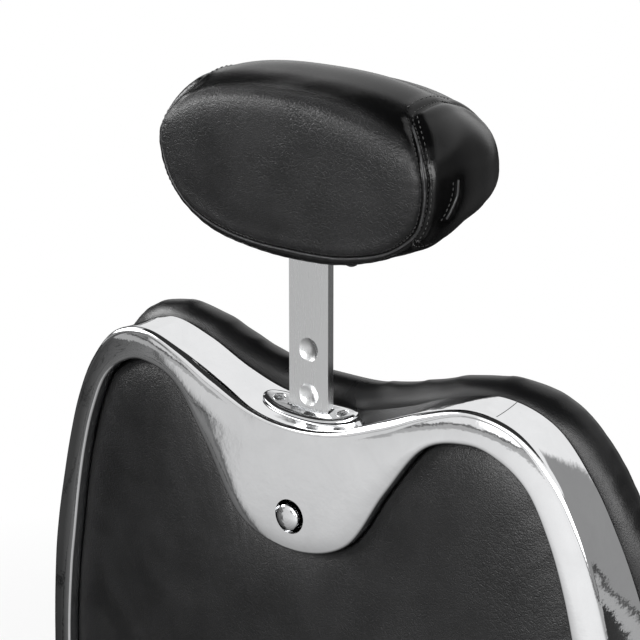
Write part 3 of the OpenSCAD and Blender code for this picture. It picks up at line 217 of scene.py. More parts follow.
def grained_leather(name):
    """Black hide: pebbled grain, short creases between the pebbles and a slow change of shine."""
    f = Finish(name, (0.005, 0.005, 0.005), 0.4, specular=0.43)
    pebble = f.spread(f.cells(640, f.warped(0.0022, 260)), 0.0, 0.28)
    crease = f.spread(f.cells(260, f.warped(0.006, 90)), 0.0, 0.16)
    patchy = f.spread(f.noise(13), 0.38, 0.62, 0.15, 1.0)
    f.bump(pebble, 0.00009, 0.8)
    f.bump(f.maths("MULTIPLY", crease, patchy), 0.00012, 0.75)
    f.bump(f.noise(1600), 0.00006, 0.6)
    stops = [(0.3, (0.0035, 0.0035, 0.0037)), (0.7, (0.0075, 0.0075, 0.0078))]
    return f.finished(f.noise(24, 4), stops, 0.30, 0.42)


def smooth_leather(name, roughness=(0.24, 0.33), ior=1.5):
    """Black hide stretched tight: a fine grain and a softer shine."""
    f = Finish(name, (0.004, 0.004, 0.004), 0.33)
    f.set("IOR", ior)
    f.bump(f.spread(f.cells(700, f.warped(0.0014, 400)), 0.0, 0.3), 0.00006, 0.7)
    f.bump(f.noise(60, 3, 0.5), 0.0003, 0.3)
    stops = [(0.3, (0.003, 0.003, 0.0032)), (0.7, (0.006, 0.006, 0.0063))]
    return f.finished(f.noise(18, 3, 0.55), stops, *roughness)


def headrest_leather(name):
    """The headrest's hide: wrinkled and grained where the grain attribute is 1, tight where it is 0; its
    colour is painted paler on the grained face as painted sheen and darker on the tight wrap as painted
    shade.
    """
    f = Finish(name, (0.005, 0.005, 0.005), 0.38, specular=0.34)
    grain = f.add("ShaderNodeAttribute", attribute_name="grain").outputs["Fac"]
    pebble = f.spread(f.cells(680, f.warped(0.0018, 360)), 0.0, 0.3)
    crease = f.spread(f.cells(290, f.warped(0.0075, 110)), 0.0, 0.17)
    patchy = f.spread(f.noise(34), 0.35, 0.6, 0.25, 1.0)
    f.bump(f.maths("MULTIPLY", pebble, f.spread(grain, 0, 1, 0.3, 1.0)), 0.00012, 0.9)
    f.bump(f.maths("MULTIPLY", f.maths("MULTIPLY", crease, patchy), grain), 0.00018, 0.9)
    f.bump(f.noise(1500), 0.00005, 0.5)
    slow = f.noise(26, 4)
    # base colour: a random tone plus painted light, paler where grained as painted sheen and darker where
    # tight as painted shade
    tone_and_painted_shade = f.maths("ADD", f.maths("MULTIPLY", grain, 0.5), f.maths("MULTIPLY", slow, 0.5))
    f.colours(tone_and_painted_shade, [(0.15, (0.0015, 0.0015, 0.0016)), (0.35, (0.003, 0.003, 0.0031)),
                     (0.65, (0.009, 0.009, 0.0093)), (0.85, (0.017, 0.017, 0.0174))])
    by_grain = f.spread(grain, 0, 1, 0.17, 0.36)
    f.set("Roughness", f.maths("ADD", by_grain, f.spread(slow, 0.3, 0.7, -0.03, 0.05)))
    return f.material


def welt_leather(name):
    """Narrow rolled edge of hide, painted paler than the rest of the hide in random patches, as a painted
    highlight of the seam's bright line.
    """
    f = Finish(name, (0.03, 0.03, 0.031), 0.36, specular=0.6)
    patchy_sheen = f.noise(300)
    f.bump(patchy_sheen, 0.00012, 0.6)
    # painted highlight: the welt's colour is several times paler than the hide's
    return f.finished(patchy_sheen, [(0.3, (0.012, 0.012, 0.013)), (0.75, (0.050, 0.050, 0.051))], 0.34, 0.5)


def thread(name, dark, pale):
    """Twisted sewing thread."""
    f = Finish(name, dark, 0.7, specular=0.3, sheen=0.2)
    twist = f.waves(900, 2.0, "DIAGONAL")
    f.colours(twist, [(0.2, dark), (0.8, pale)])
    f.bump(twist, 0.0001, 0.6)
    return f.material


def polished_chrome(name, waviness=0.00010, roughness=(0.035, 0.075)):
    """Bright plate: slight waviness of the polished sheet, faint wiping haze and fine hairlines."""
    f = Finish(name, (0.90, 0.905, 0.915), 0.05, metallic=1.0)
    f.bump(f.noise(75, 3, 0.55), waviness, 0.6)
    f.bump(f.noise(300), 0.000016, 0.6)
    haze = f.noise(30, 5, 0.65, 0.6)
    return f.finished(haze, [(0.3, (0.86, 0.865, 0.875)), (0.7, (0.93, 0.935, 0.945))], *roughness)


def brushed_steel(name, stretch, colour, roughness=(0.30, 0.40)):
    """Metal with a satin brushing along one direction."""
    f = Finish(name, colour, 0.35, metallic=1.0)
    lines = f.noise(1.0, 4, place=f.stretched(stretch))
    f.bump(lines, 0.00003, 0.6)
    return f.finished(lines, [(0.3, tuple(c * 0.93 for c in colour)), (0.7, colour)], *roughness)


def powder_coat(name, colour):
    """Baked coat with a fine orange-peel skin and paler rubbed patches."""
    f = Finish(name, colour, 0.45)
    f.bump(f.noise(750, 2, 0.5), 0.00008, 0.7)
    pale = tuple(min(1.0, c * 1.6 + 0.004) for c in colour)
    return f.finished(f.noise(22, 5, 0.65), [(0.45, colour), (0.8, pale)], 0.38, 0.5)


def cast_skin(name):
    """Sand-cast iron under dark paint."""
    f = Finish(name, (0.045, 0.045, 0.047), 0.62, specular=0.4)
    f.bump(f.noise(420, 5, 0.7), 0.0005, 0.7)
    f.bump(f.noise(60, 3, 0.5), 0.0006, 0.3)
    stops = [(0.4, (0.035, 0.035, 0.037)), (0.8, (0.075, 0.073, 0.070))]
    return f.finished(f.noise(30, 5, 0.65), stops, 0.55, 0.72)


def bearing_bronze(name):
    """Turned bronze with fine lathe rings and a brown tarnish."""
    f = Finish(name, (0.50, 0.31, 0.13), 0.35, metallic=1.0)
    f.bump(f.noise(1.0, 2, 0.5, place=f.stretched((150, 150, 2600))), 0.00003, 0.6)
    stops = [(0.35, (0.36, 0.21, 0.09)), (0.7, (0.60, 0.39, 0.18))]
    return f.finished(f.noise(70, 5, 0.65), stops, 0.28, 0.45)


def birch_ply(name):
    """Thin ply: long fibres and a wavy figure."""
    f = Finish(name, (0.55, 0.40, 0.24), 0.6, specular=0.35)
    fibre = f.noise(1.0, 6, 0.65, 0.3, f.stretched((18, 900, 900)))
    figure = f.waves(26, 7.0, "Z")
    f.bump(fibre, 0.00012, 0.5)
    stops = [(0.15, (0.34, 0.21, 0.11)), (0.5, (0.55, 0.39, 0.23)), (0.85, (0.68, 0.52, 0.34))]
    f.colours(f.maths("ADD", f.maths("MULTIPLY", fibre, 0.55), f.maths("MULTIPLY", figure, 0.45)), stops)
    f.set("Roughness", f.spread(fibre, 0.3, 0.7, 0.5, 0.7))
    return f.material


def ribbed_rubber(name):
    """Black rubber, matt, with a dusty bloom."""
    f = Finish(name, (0.022, 0.022, 0.022), 0.78, specular=0.35)
    f.bump(f.noise(900), 0.00012, 0.6)
    stops = [(0.4, (0.018, 0.018, 0.018)), (0.8, (0.05, 0.05, 0.049))]
    return f.finished(f.noise(60, 5, 0.65), stops, 0.7, 0.88)


def moulded_plastic(name):
    """Black moulding with a spark-eroded texture."""
    f = Finish(name, (0.02, 0.02, 0.021), 0.42)
    f.bump(f.noise(1300), 0.00006, 0.6)
    stops = [(0.4, (0.017, 0.017, 0.018)), (0.8, (0.034, 0.034, 0.035))]
    return f.finished(f.noise(40, 4), stops, 0.34, 0.5)


grain_hide = grained_leather("black_leather_grained")
tight_hide = smooth_leather("black_leather_smooth")
rolled_hide = smooth_leather("black_leather_rolled", (0.27, 0.37), ior=1.4)
head_hide = headrest_leather("black_leather_headrest")
welt_hide = welt_leather("leather_welt")
black_thread = thread("thread_black", (0.006, 0.006, 0.006), (0.03, 0.03, 0.03))
pale_thread = thread("thread_grey", (0.035, 0.035, 0.035), (0.08, 0.08, 0.079))
frame_chrome = polished_chrome("chrome_back_frame", 0.00016, (0.03, 0.07))
chrome = polished_chrome("chrome_polished")
bar_steel = brushed_steel("satin_steel_bar", (500, 500, 10), (0.80, 0.805, 0.81), (0.20, 0.30))
rail_steel = brushed_steel("satin_steel_rails", (1100, 14, 1100), (0.56, 0.565, 0.575))
turned_steel = brushed_steel("satin_steel_turned", (160, 160, 2600), (0.60, 0.605, 0.615), (0.24, 0.34))
socket_steel = brushed_steel("satin_steel_screws", (900, 900, 900), (0.50, 0.505, 0.51), (0.20, 0.30))
black_coat = powder_coat("black_metal_coat", (0.018, 0.018, 0.019))
grey_iron = cast_skin("cast_iron_painted")
bronze = bearing_bronze("bronze_bearing")
plywood = birch_ply("birch_plywood")
rubber = ribbed_rubber("rubber_black")
plastic = moulded_plastic("plastic_black")
aluminium = brushed_steel("aluminium_plate", (14, 1100, 1100), (0.70, 0.705, 0.71), (0.26, 0.38))


# Mesh helpers
def placed(name, data):
    """A new object in the scene."""
    thing = bpy.data.objects.new(name, data)
    scene.collection.objects.link(thing)
    return thing


def dropped(piece):
    """Takes a piece and its mesh out of the file."""
    mesh = piece.data
    bpy.data.objects.remove(piece)
    bpy.data.meshes.remove(mesh)


def shade_smooth(mesh):
    mesh.polygons.foreach_set("use_smooth", [True] * len(mesh.polygons))


def shade_by_angle(mesh, degrees):
    shade_smooth(mesh)
    mesh.set_sharp_from_angle(angle=math.radians(degrees))


def new_piece(name, points, faces, *materials):
    mesh = bpy.data.meshes.new(name)
    mesh.from_pydata([tuple(p) for p in points], [], [tuple(f) for f in faces])
    for material in materials:
        mesh.materials.append(material)
    shade_smooth(mesh)
    mesh.update()
    return placed(name, mesh)


def skinned(name, rings, material, ends=None, loop=False):
    """A closed skin over equal rings, facing outwards, with two end points or joined last to first."""
    rows = len(rings)
    n = len(rings[0])
    points = np.concatenate([np.asarray(r, float) for r in rings])
    faces = []
    for j in range(rows if loop else rows - 1):
        a = j * n
        b = ((j + 1) % rows) * n
        faces += [(a + i, a + (i + 1) % n, b + (i + 1) % n, b + i) for i in range(n)]
    if ends is not None:
        first, last = len(points), len(points) + 1
        points = np.concatenate([points, np.asarray(ends, float)])
        top = (rows - 1) * n
        faces += [(first, (i + 1) % n, i) for i in range(n)]
        faces += [(last, top + i, top + (i + 1) % n) for i in range(n)]
    if signed_volume(points, faces) < 0:
        faces = [tuple(reversed(f)) for f in faces]
    return new_piece(name, points, faces, material)


def signed_volume(points, faces):
    """Six times the volume inside the faces, below 0 where they face inwards."""
    total = 0.0
    for size in (3, 4):
        g = np.array([f for f in faces if len(f) == size])
        for k in range(1, size - 1 if len(g) else 0):
            a, b, c = points[g[:, 0]], points[g[:, k]], points[g[:, k + 1]]
            total += float((a * np.cross(b, c)).sum())
    return total


def turns(n):
    return np.linspace(0, 2 * math.pi, n, endpoint=False)


def unit(v):
    return v / np.linalg.norm(v)


def squared_off(v, power):
    """A cosine or sine drawn out so that its circle becomes an oval with square shoulders."""
    return np.sign(v) * np.abs(v) ** (2 / power)


def oval(a, b, power, n):
    t = turns(n)
    return np.stack([a * squared_off(np.cos(t), power), b * squared_off(np.sin(t), power)], 1)


def level_rings(rows, n):
    """Level rings for rows of (half width, half length, height, power)."""
    return [np.column_stack([oval(a, b, power, n), np.full(n, height)]) for a, b, height, power in rows]


def steps_through(*stretches):
    """Places along stretches of (start, end, number of steps) that follow each other."""
    places = [np.linspace(start, end, count, endpoint=False) for start, end, count in stretches]
    return np.concatenate(places + [[stretches[-1][1]]])


def ease(t):
    t = np.clip(t, 0, 1)
    return t * t * (3 - 2 * t)


def catmull(p0, p1, p2, p3, u):
    square = 2 * p0 - 5 * p1 + 4 * p2 - p3
    cube = 3 * p1 - p0 - 3 * p2 + p3
    return (2 * p1 + (p2 - p0) * u + square * u * u + cube * u ** 3) / 2


def span_of(knots, i):
    """The four knots that shape span i of an open curve, which runs straight on at its ends."""
    p1, p2 = knots[i], knots[i + 1]
    p0 = knots[i - 1] if i > 0 else 2 * p1 - p2
    p3 = knots[i + 2] if i + 2 < len(knots) else 2 * p2 - p1
    return p0, p1, p2, p3


def smooth_loop(knots, spans):
    knots = np.asarray(knots, float)
    n = len(knots)
    return np.array([
        catmull(knots[i - 1], knots[i], knots[(i + 1) % n], knots[(i + 2) % n], s / spans)
        for i in range(n) for s in range(spans)])


def run_of(path):
    """How far along a path each of its points is."""
    return np.concatenate([[0], np.cumsum(np.linalg.norm(np.diff(path, axis=0), axis=1))])


def resampled(points, count, closed=False):
    """The path again with evenly spaced points."""
    path = np.asarray(points, float)
    if closed:
        path = np.concatenate([path, path[:1]])
    run = run_of(path)
    want = np.linspace(0, run[-1], count, endpoint=not closed)
    return np.stack([np.interp(want, run, path[:, k]) for k in range(path.shape[1])], 1)


def outline(half, spans=12):
    """Closed outline (x, z) in metres through the half outline's knots and their mirror images."""
    right = [(x * MM, dip_z + z * MM) for x, z in half]
    left = [(-x, z) for x, z in reversed(right[1:-1])]
    return smooth_loop(right + left, spans)


def sag(x):
    return curve_r - np.sqrt(curve_r ** 2 - np.asarray(x) ** 2)


def on_back(line, depth):
    """Points of an (x, z) line at a depth below the curved rear face."""
    line = np.asarray(line)
    return np.stack([line[:, 0], back_y - depth - sag(line[:, 0]), line[:, 1]], 1)


def inward(line):
    """Unit normals of a closed (x, z) line, towards its inside."""
    step = np.roll(line, -1, 0) - np.roll(line, 1, 0)
    step /= np.linalg.norm(step, axis=1)[:, None]
    normal = np.stack([step[:, 1], -step[:, 0]], 1)
    if ((line.mean(0) - line) * normal).sum() < 0:
        normal = -normal
    return normal


def shrunk(line, share):
    """The (x, z) line drawn in towards the middle of the rear panel."""
    middle = np.array([0.0, panel_middle_z])
    return middle + (line - middle) * share


def distance_to(points, line, part=600):
    """Distance of each (x, z) point to a closed line."""
    ab = np.roll(line, -1, 0) - line
    length = (ab ** 2).sum(1)
    best = np.empty(len(points))
    for start in range(0, len(points), part):
        p = points[start:start + part][:, None, :]
        t = np.clip(((p - line) * ab).sum(2) / length, 0, 1)
        near = line + ab * t[..., None]
        best[start:start + part] = np.sqrt(((p - near) ** 2).sum(2)).min(1)
    return best


def nearest_on(points, path, part=4000):
    """Distance of each point to the nearest point of a dense path, and that point's number."""
    gap = np.empty(len(points))
    number = np.empty(len(points), int)
    for start in range(0, len(points), part):
        d = np.linalg.norm(points[start:start + part][:, None, :] - path[None, :, :], axis=2)
        gap[start:start + part] = d.min(1)
        number[start:start + part] = d.argmin(1)
    return gap, number


def settle(piece):
    """Turns the evaluated shape, modifiers and all, into the piece's plain mesh."""
    graph = bpy.context.evaluated_depsgraph_get()
    graph.update()
    mesh = bpy.data.meshes.new_from_object(piece.evaluated_get(graph), depsgraph=graph)
    old = piece.data
    piece.modifiers.clear()
    piece.data = mesh
    bpy.data.meshes.remove(old)
    mesh.name = piece.name


def cut_away(piece, cutters):
    """Takes closed cutter pieces out of a piece for good."""
    for cutter in cutters:
        modifier = piece.modifiers.new("cut", "BOOLEAN")
        modifier.operation = "DIFFERENCE"
        modifier.solver = "EXACT"
        modifier.object = cutter
        settle(piece)
        dropped(cutter)


def box_cutter(low, high):
    points = [(x, y, z) for z in (low[2], high[2]) for y in (low[1], high[1]) for x in (low[0], high[0])]
    faces = [(0, 2, 3, 1), (4, 5, 7, 6), (0, 1, 5, 4), (2, 6, 7, 3), (0, 4, 6, 2), (1, 3, 7, 5)]
    return new_piece("box_cutter", points, faces, black_coat)


def round_cutter(x, z, radius, y0, y1, n=96):
    """A round cutter along Y."""
    t = turns(n)
    rings = [np.stack([x + radius * np.cos(t), np.full(n, y), z + radius * np.sin(t)], 1) for y in (y0, y1)]
    return skinned("round_cutter", rings, black_coat, [(x, y0, z), (x, y1, z)])


def welt(name, points, radius, material, closed=True, sides=10):
    """A round cord along a path; an open one has rounded ends."""
    path = np.asarray(points, float)
    n = len(path)
    along = np.roll(path, -1, 0) - np.roll(path, 1, 0) if closed else np.gradient(path, axis=0)
    along /= np.linalg.norm(along, axis=1)[:, None]
    guide = np.array([0.0, 0.0, 1.0]) if abs(along[0][2]) < 0.9 else np.array([1.0, 0.0, 0.0])
    side = unit(np.cross(along[0], guide))
    sides_at = []
    for t in along:
        side = unit(side - t * np.dot(side, t))
        sides_at.append(side)
    if closed:
        # spread the twist that is left over evenly along the closed cord
        last = unit(sides_at[-1] - along[0] * np.dot(sides_at[-1], along[0]))
        twist = math.atan2(np.dot(np.cross(last, sides_at[0]), along[0]), np.dot(last, sides_at[0]))
        for i in range(n):
            up = np.cross(along[i], sides_at[i])
            a = twist * i / n
            sides_at[i] = sides_at[i] * math.cos(a) + up * math.sin(a)
    c, s = np.cos(turns(sides))[:, None], np.sin(turns(sides))[:, None]
    rings = [path[i] + radius * (c * sides_at[i] + s * np.cross(along[i], sides_at[i])) for i in range(n)]
    tips = None if closed else [path[0] - along[0] * radius * 0.7, path[-1] + along[-1] * radius * 0.7]
    return skinned(name, rings, material, tips, closed)


# Stitches, as pitch, length and radius of the thread
cushion_stitch = (0.0048, 0.0036, 0.00045)
pad_stitch = (0.0045, 0.0034, 0.00042)
face_stitch = (0.0034, 0.0028, 0.00052)
wrap_stitch = (0.0042, 0.0024, 0.00030)
cap_stitch = (0.0036, 0.0029, 0.00055)
top_stitch = (0.0046, 0.0030, 0.00036)
slit_stitch = (0.0036, 0.0022, 0.00030)


def stitch_tree():
    """A Geometry Nodes tree that lays one small capsule per pitch along a path of points."""
    tree = bpy.data.node_groups.new("stitch_row", "GeometryNodeTree")
    sockets = {}
    for label, kind, value in (("Seam path", "Geometry", None), ("Stitch pitch", "Float", 0.004),
                               ("Stitch length", "Float", 0.003), ("Thread radius", "Float", 0.0004),
                               ("Thread", "Material", None), ("Loose seed", "Int", 3)):
        item = tree.interface.new_socket(label, in_out="INPUT", socket_type="NodeSocket" + kind)
        if value is not None:
            item.default_value = value
        sockets[label] = item.identifier
    tree.interface.new_socket("Stitches", in_out="OUTPUT", socket_type="NodeSocketGeometry")
    g = Nodes(tree)
    given = g.add("NodeGroupInput").outputs
    curve = g.add("GeometryNodeMeshToCurve", {"Mesh": given["Seam path"]}).outputs["Curve"]
    pitch = given["Stitch pitch"]
    points = g.add("GeometryNodeResampleCurve", {"Curve": curve, "Length": pitch}, mode="LENGTH")
    ball = g.add("GeometryNodeMeshUVSphere", {"Segments": 6, "Rings": 5, "Radius": 1.0})
    tangent = g.add("GeometryNodeInputTangent").outputs["Tangent"]
    align = g.add("FunctionNodeAlignRotationToVector", {"Vector": tangent}, axis="Z")
    loose = g.add("FunctionNodeRandomValue", {"Min": 0.88, "Max": 1.08, "Seed": given["Loose seed"]},
                  data_type="FLOAT")
    half = g.maths("MULTIPLY", given["Stitch length"], 0.5)
    size = g.add("ShaderNodeCombineXYZ", {
        "X": given["Thread radius"], "Y": given["Thread radius"],
        "Z": g.maths("MULTIPLY", half, loose.outputs[1])})
    lay = g.add("GeometryNodeInstanceOnPoints", {
        "Points": points.outputs["Curve"], "Instance": ball.outputs["Mesh"],
        "Rotation": align.outputs["Rotation"], "Scale": size.outputs["Vector"]})
    real = g.add("GeometryNodeRealizeInstances", {"Geometry": lay.outputs["Instances"]})
    paint = g.add("GeometryNodeSetMaterial", {
        "Geometry": real.outputs["Geometry"], "Material": given["Thread"]})
    g.add("NodeGroupOutput", {"Stitches": paint.outputs["Geometry"]})
    return tree, sockets


stitch_row, stitch_sockets = stitch_tree()


def sew(name, path, pitch, length, radius, material, seed=3, closed=False):
    """One piece of stitches laid along the path."""
    edges = [(i, i + 1) for i in range(len(path) - 1)]
    if closed:
        edges.append((len(path) - 1, 0))
    mesh = bpy.data.meshes.new(name)
    mesh.from_pydata([tuple(p) for p in path], edges, [])
    mesh.materials.append(material)
    piece = placed(name, mesh)
    modifier = piece.modifiers.new("stitches", "NODES")
    modifier.node_group = stitch_row
    for label, value in (("Stitch pitch", pitch), ("Stitch length", length), ("Thread radius", radius),
                         ("Thread", material), ("Loose seed", seed)):
        modifier[stitch_sockets[label]] = value
    settle(piece)
    shade_smooth(piece.data)
    return piece


def joined(name, pieces):
    """Several pieces as one, with their materials kept."""
    points = []
    faces = []
    marks = []
    materials = []
    for p in pieces:
        start = len(points)
        points += [v.co[:] for v in p.data.vertices]
        for m in p.data.materials:
            if m not in materials:
                materials.append(m)
        index = [materials.index(m) for m in p.data.materials]
        for f in p.data.polygons:
            faces.append([start + v for v in f.vertices])
            marks.append(index[f.material_index])
        dropped(p)
    piece = new_piece(name, points, faces, *materials)
    piece.data.polygons.foreach_set("material_index", marks)
    return piece


def tree_of(piece):
    mesh = piece.data
    return BVHTree.FromPolygons([v.co[:] for v in mesh.vertices], [tuple(f.vertices) for f in mesh.polygons])


def laid_on(tree, points, lift=0.0):
    """Points moved to the nearest place on a surface and lifted off it."""
    out = []
    for p in points:
        place, normal, _, _ = tree.find_nearest(Vector(p))
        out.append(np.array(place + normal * lift))
    return np.array(out)


def thrown(tree, start, ways, lift):
    """The place, lifted off a surface, where the first of the rays that meets it does so, or None."""
    for way in ways:
        hit, normal, _, _ = tree.ray_cast(Vector(start), Vector(way).normalized())
        if hit is not None:
            return np.array(hit) + np.array(normal) * lift
    return None


def coords_of(mesh, what="co"):
    values = np.empty(len(mesh.vertices) * 3)
    mesh.vertices.foreach_get(what, values)
    return values.reshape(-1, 3)


def set_coords(mesh, co):
    mesh.vertices.foreach_set("co", np.asarray(co, float).ravel())
    mesh.update()


def repaint(piece, material):
    piece.data.materials.clear()
    piece.data.materials.append(material)


def blow_up(piece, pressure, most, hold, frames=20, stiffness=15.0):
    """Padding as cloth without gravity: pressure swells it by up to most, and less where it is held."""
    start = coords_of(piece.data)
    group = piece.vertex_groups.new(name="held")
    for i, p in enumerate(start):
        weight = hold(p)
        if weight > 0:
            group.add([i], weight, "REPLACE")
    cloth = piece.modifiers.new("stuffing", "CLOTH")
    s = cloth.settings
    s.quality = 4
    s.mass = 0.25
    s.tension_stiffness = stiffness
    s.compression_stiffness = stiffness
    s.shear_stiffness = stiffness * 0.4
    s.bending_stiffness = 0.6
    s.use_pressure = True
    s.uniform_pressure_force = pressure
    s.effector_weights.gravity = 0
    s.vertex_group_mass = "held"
    s.pin_stiffness = 1.0
    cloth.collision_settings.use_collision = False
    cloth.collision_settings.use_self_collision = False
    cloth.point_cache.frame_start = 1
    cloth.point_cache.frame_end = frames
    for f in range(1, frames + 1):
        scene.frame_set(f)
    graph = bpy.context.evaluated_depsgraph_get()
    move = coords_of(piece.evaluated_get(graph).data) - start
    piece.modifiers.clear()
    piece.vertex_groups.clear()
    scene.frame_set(1)
    far = np.linalg.norm(move, axis=1)
    scale = np.where(far > 1e-9, most * np.tanh(far / most) / np.maximum(far, 1e-9), 0)
    set_coords(piece.data, start + move * scale[:, None])


def stuffed(piece, material, voxel, pressure, most, hold):
    """Remeshes a piece, blows it up and makes it smooth."""
    remesh = piece.modifiers.new("remesh", "REMESH")
    remesh.mode = "VOXEL"
    remesh.voxel_size = voxel
    remesh.use_smooth_shade = True
    settle(piece)
    blow_up(piece, pressure, most, hold)
    smooth = piece.modifiers.new("even", "SMOOTH")
    smooth.factor = 0.5
    smooth.iterations = 3
    settle(piece)
    finer = piece.modifiers.new("finer", "SUBSURF")
    finer.levels = 1
    finer.render_levels = 1
    settle(piece)
    shade_smooth(piece.data)
    repaint(piece, material)


# Chrome frame of the back
rear_line = outline(band_rear)
front_line = outline(band_front)
open_line = outline(opening)
bracket_x = (0.1893, 0.2303)
bracket_y = (0.2, 0.2682)
bracket_z = (0.42, 0.6)
least_crown = 0.0009
crown_reach = 0.026


def relief(line):
    """How far the rear face lies below the bead: rims are crowned, and all falls away to the opening."""
    s = distance_to(line, rear_line)
    t = distance_to(line, open_line)
    # the crown fades where the face is 34 to 70 mm wide, and from 30 to 50 mm it counts as the tongue
    narrow = 1 - ease((s + t - 0.034) / 0.036)
    crowned = (least_crown + (crown - least_crown) * narrow) * np.clip(1 - s / crown_reach, 0, 1) ** 2
    wide = ease((s + t - 0.030) / 0.020)
    on_rim = rim_fall * np.clip(1 - t / rim_reach, 0, 1) ** 2
    on_tongue = tongue_fall * np.clip(1 - t / tongue_reach, 0, 1) ** 3
    return crowned + on_rim * (1 - wide) + on_tongue * wide


def make_back_frame():
    in_band = inward(rear_line)
    out_lip = -inward(open_line)
    # the bead is broader on the slopes beside the dip, and the sides are a little hollow below it
    from_middle = np.abs(rear_line[:, 0])
    on_slope = np.exp(-((from_middle - 0.080) / 0.034) ** 2) * ease((rear_line[:, 1] - dip_z + 0.04) / 0.03)
    bead = bead_r + slope_bead * on_slope
    bulge = side_bulge * ease((from_middle - 0.12) / 0.06)
    edge = rear_line + in_band * bead[:, None]
    rim = open_line + out_lip * lip_r
    rows = []

    def add(line, depth):
        rows.append(on_back(line, depth))

    # from the cushion up the side, over the bead, down the rear face, into the opening and back inside
    add(front_line + (open_line - front_line) * 0.02, frame_depth)
    add(front_line, frame_depth - 0.0006)
    at_edge = relief(edge)
    for k in np.linspace(0.94, 0.0, 12):
        depth = (at_edge + bead) + (frame_depth - at_edge - bead) * k
        add(rear_line + (front_line - rear_line) * k - in_band * (bulge * 4 * k * (1 - k))[:, None], depth)
    for a in np.radians((12, 24, 36, 48, 60, 72, 82)):
        add(rear_line + in_band * (bead * (1 - math.cos(a)))[:, None], at_edge + bead * (1 - math.sin(a)))
    for k in steps_through((0, 0.30, 8), (0.30, 0.72, 7), (0.72, 1, 9)):
        line = edge + (rim - edge) * k
        add(line, relief(line))
    at_rim = relief(rim)
    for a in np.radians((18, 36, 54, 72, 90)):
        add(open_line + out_lip * lip_r * (1 - math.sin(a)), at_rim + lip_r * (1 - math.cos(a)))
    add(open_line, lip_depth - 0.0006)
    add(open_line + out_lip * 0.0006, lip_depth)
    inner_rim = open_line + out_lip * frame_wall
    inner_edge = rear_line + in_band * frame_wall
    add(inner_rim, lip_depth)
    add(inner_rim, relief(inner_rim) + frame_wall + 0.0012 + 0.002)
    for k in (0.06, 0.35, 0.65, 0.94):
        line = inner_rim + (inner_edge - inner_rim) * k
        add(line, np.maximum(relief(line), 0) + frame_wall + 0.0008)
    add(inner_edge, at_edge + bead + 0.003)
    add(front_line + (inner_edge - rear_line), frame_depth)
    piece = skinned("back_frame_chrome", rows, frame_chrome, loop=True)
    # the button's hole, the bar's slot and the gaps for the hinge brackets
    brackets = [box_cutter(*zip(sorted((side * bracket_x[0], side * bracket_x[1])), bracket_y, bracket_z))
                for side in (1, -1)]
    cut_away(piece, [
        round_cutter(0, button_z, button_hole_r, back_y - 0.02, back_y + 0.02),
        box_cutter((-bar_half - 0.001, bar_front_y - 0.001, dip_z - 0.004),
                   (bar_half + 0.001, bar_rear_y + 0.001, dip_z + 0.06)),
        *brackets])
    shade_by_angle(piece.data, 32)
    return piece


back_shell = make_back_frame()
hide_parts("back_frame")
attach(back_shell, "back")


# Fine joint across the band at the top of one lobe, where the band's strip meets itself
joint_at_rear = 402.6
joint_at_front = 405.4
joint_half = 0.08
joint_lift = 0.00006
joint_sunk = 0.0004


def make_band_joint():
    # the joint's place and half width are counted in points of the band's outline
    along = np.arange(len(rear_line))
    tree = tree_of(back_shell)
    near = crown + bead_r
    rows = []
    for k in np.linspace(0.03, 0.97, 14):
        middle = joint_at_rear + (joint_at_front - joint_at_rear) * k
        spots = []
        for where in (middle - joint_half, middle + joint_half):
            rear, front = [np.array([np.interp(where, along, line[:, c]) for c in (0, 1)])
                           for line in (rear_line, front_line)]
            spots.append(on_back([rear + (front - rear) * k], near + (frame_depth - near) * k)[0])
        above = laid_on(tree, spots, joint_lift)
        below = laid_on(tree, spots, -joint_sunk)
        rows.append(np.array([above[0], above[1], below[1], below[0]]))
    return skinned("band_joint", rows, black_coat, [rows[0].mean(0), rows[-1].mean(0)])


band_joint = make_band_joint()
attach(band_joint, "back")


# Upholstered rear panel: tucked in behind the lip, drawn up over its padding
panel_middle = np.array([[0.0, panel_middle_z]])
panel_step = 0.0016
panel_rise = 0.0082
panel_crown = 0.0022
pleat_reach = 0.018
pleat_size = 0.00030


def pleats(points, d, count=26):
    """Small radiating puckers where the leather is pulled over the edge: a height for each (x, z) point."""
    rng = np.random.default_rng(11)
    run = np.arctan2(points[:, 1] - panel_middle_z, points[:, 0])
    height = np.zeros(len(points))
    for _ in range(count):
        waves = rng.integers(26, 120)
        height += np.sin(run * waves + rng.uniform(0, 2 * math.pi)) * rng.uniform(0.3, 1.0) / count ** 0.5
    return pleat_size * height * np.exp(-d / pleat_reach) * ease(d / 0.003)


def make_rear_panel():
    step_in = inward(open_line)
    edge = open_line + step_in * 0.0004
    near = board_depth + 0.0002
    rows = [on_back(shrunk(edge, s), near) for s in (0.2, 0.5, 0.8, 0.985)]
    # the edge lies behind the lip
    for out, below in ((0.0024, 0.00045), (0.0023, 0.00022), (-0.0004, 0.00018)):
        rows.append(on_back(open_line - step_in * out, lip_depth + below))
    for k in np.concatenate([np.linspace(0, 0.12, 14), np.linspace(0.135, 0.9, 40)]):
        line = shrunk(edge, 1 - k)
        d = distance_to(line, open_line)
        depth = lip_depth - panel_step * ease(d / 0.0022)
        depth -= panel_rise * (1 - np.exp(-np.maximum(d - 0.001, 0) / 0.0175))
        depth -= panel_crown * ease(d / 0.16)
        depth -= pleats(line, d)
        rows.append(on_back(line, depth))
    ends = np.concatenate([on_back(panel_middle, near), on_back(panel_middle, near - 0.0120)])
    return skinned("rear_panel_leather", rows, grain_hide, ends)


panel = make_rear_panel()
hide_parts("rear_panel")
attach(panel, "back")


# Front cushion of the back
cushion_gap = 0.0003
roll_depth = 0.020
roll_fade = 0.018


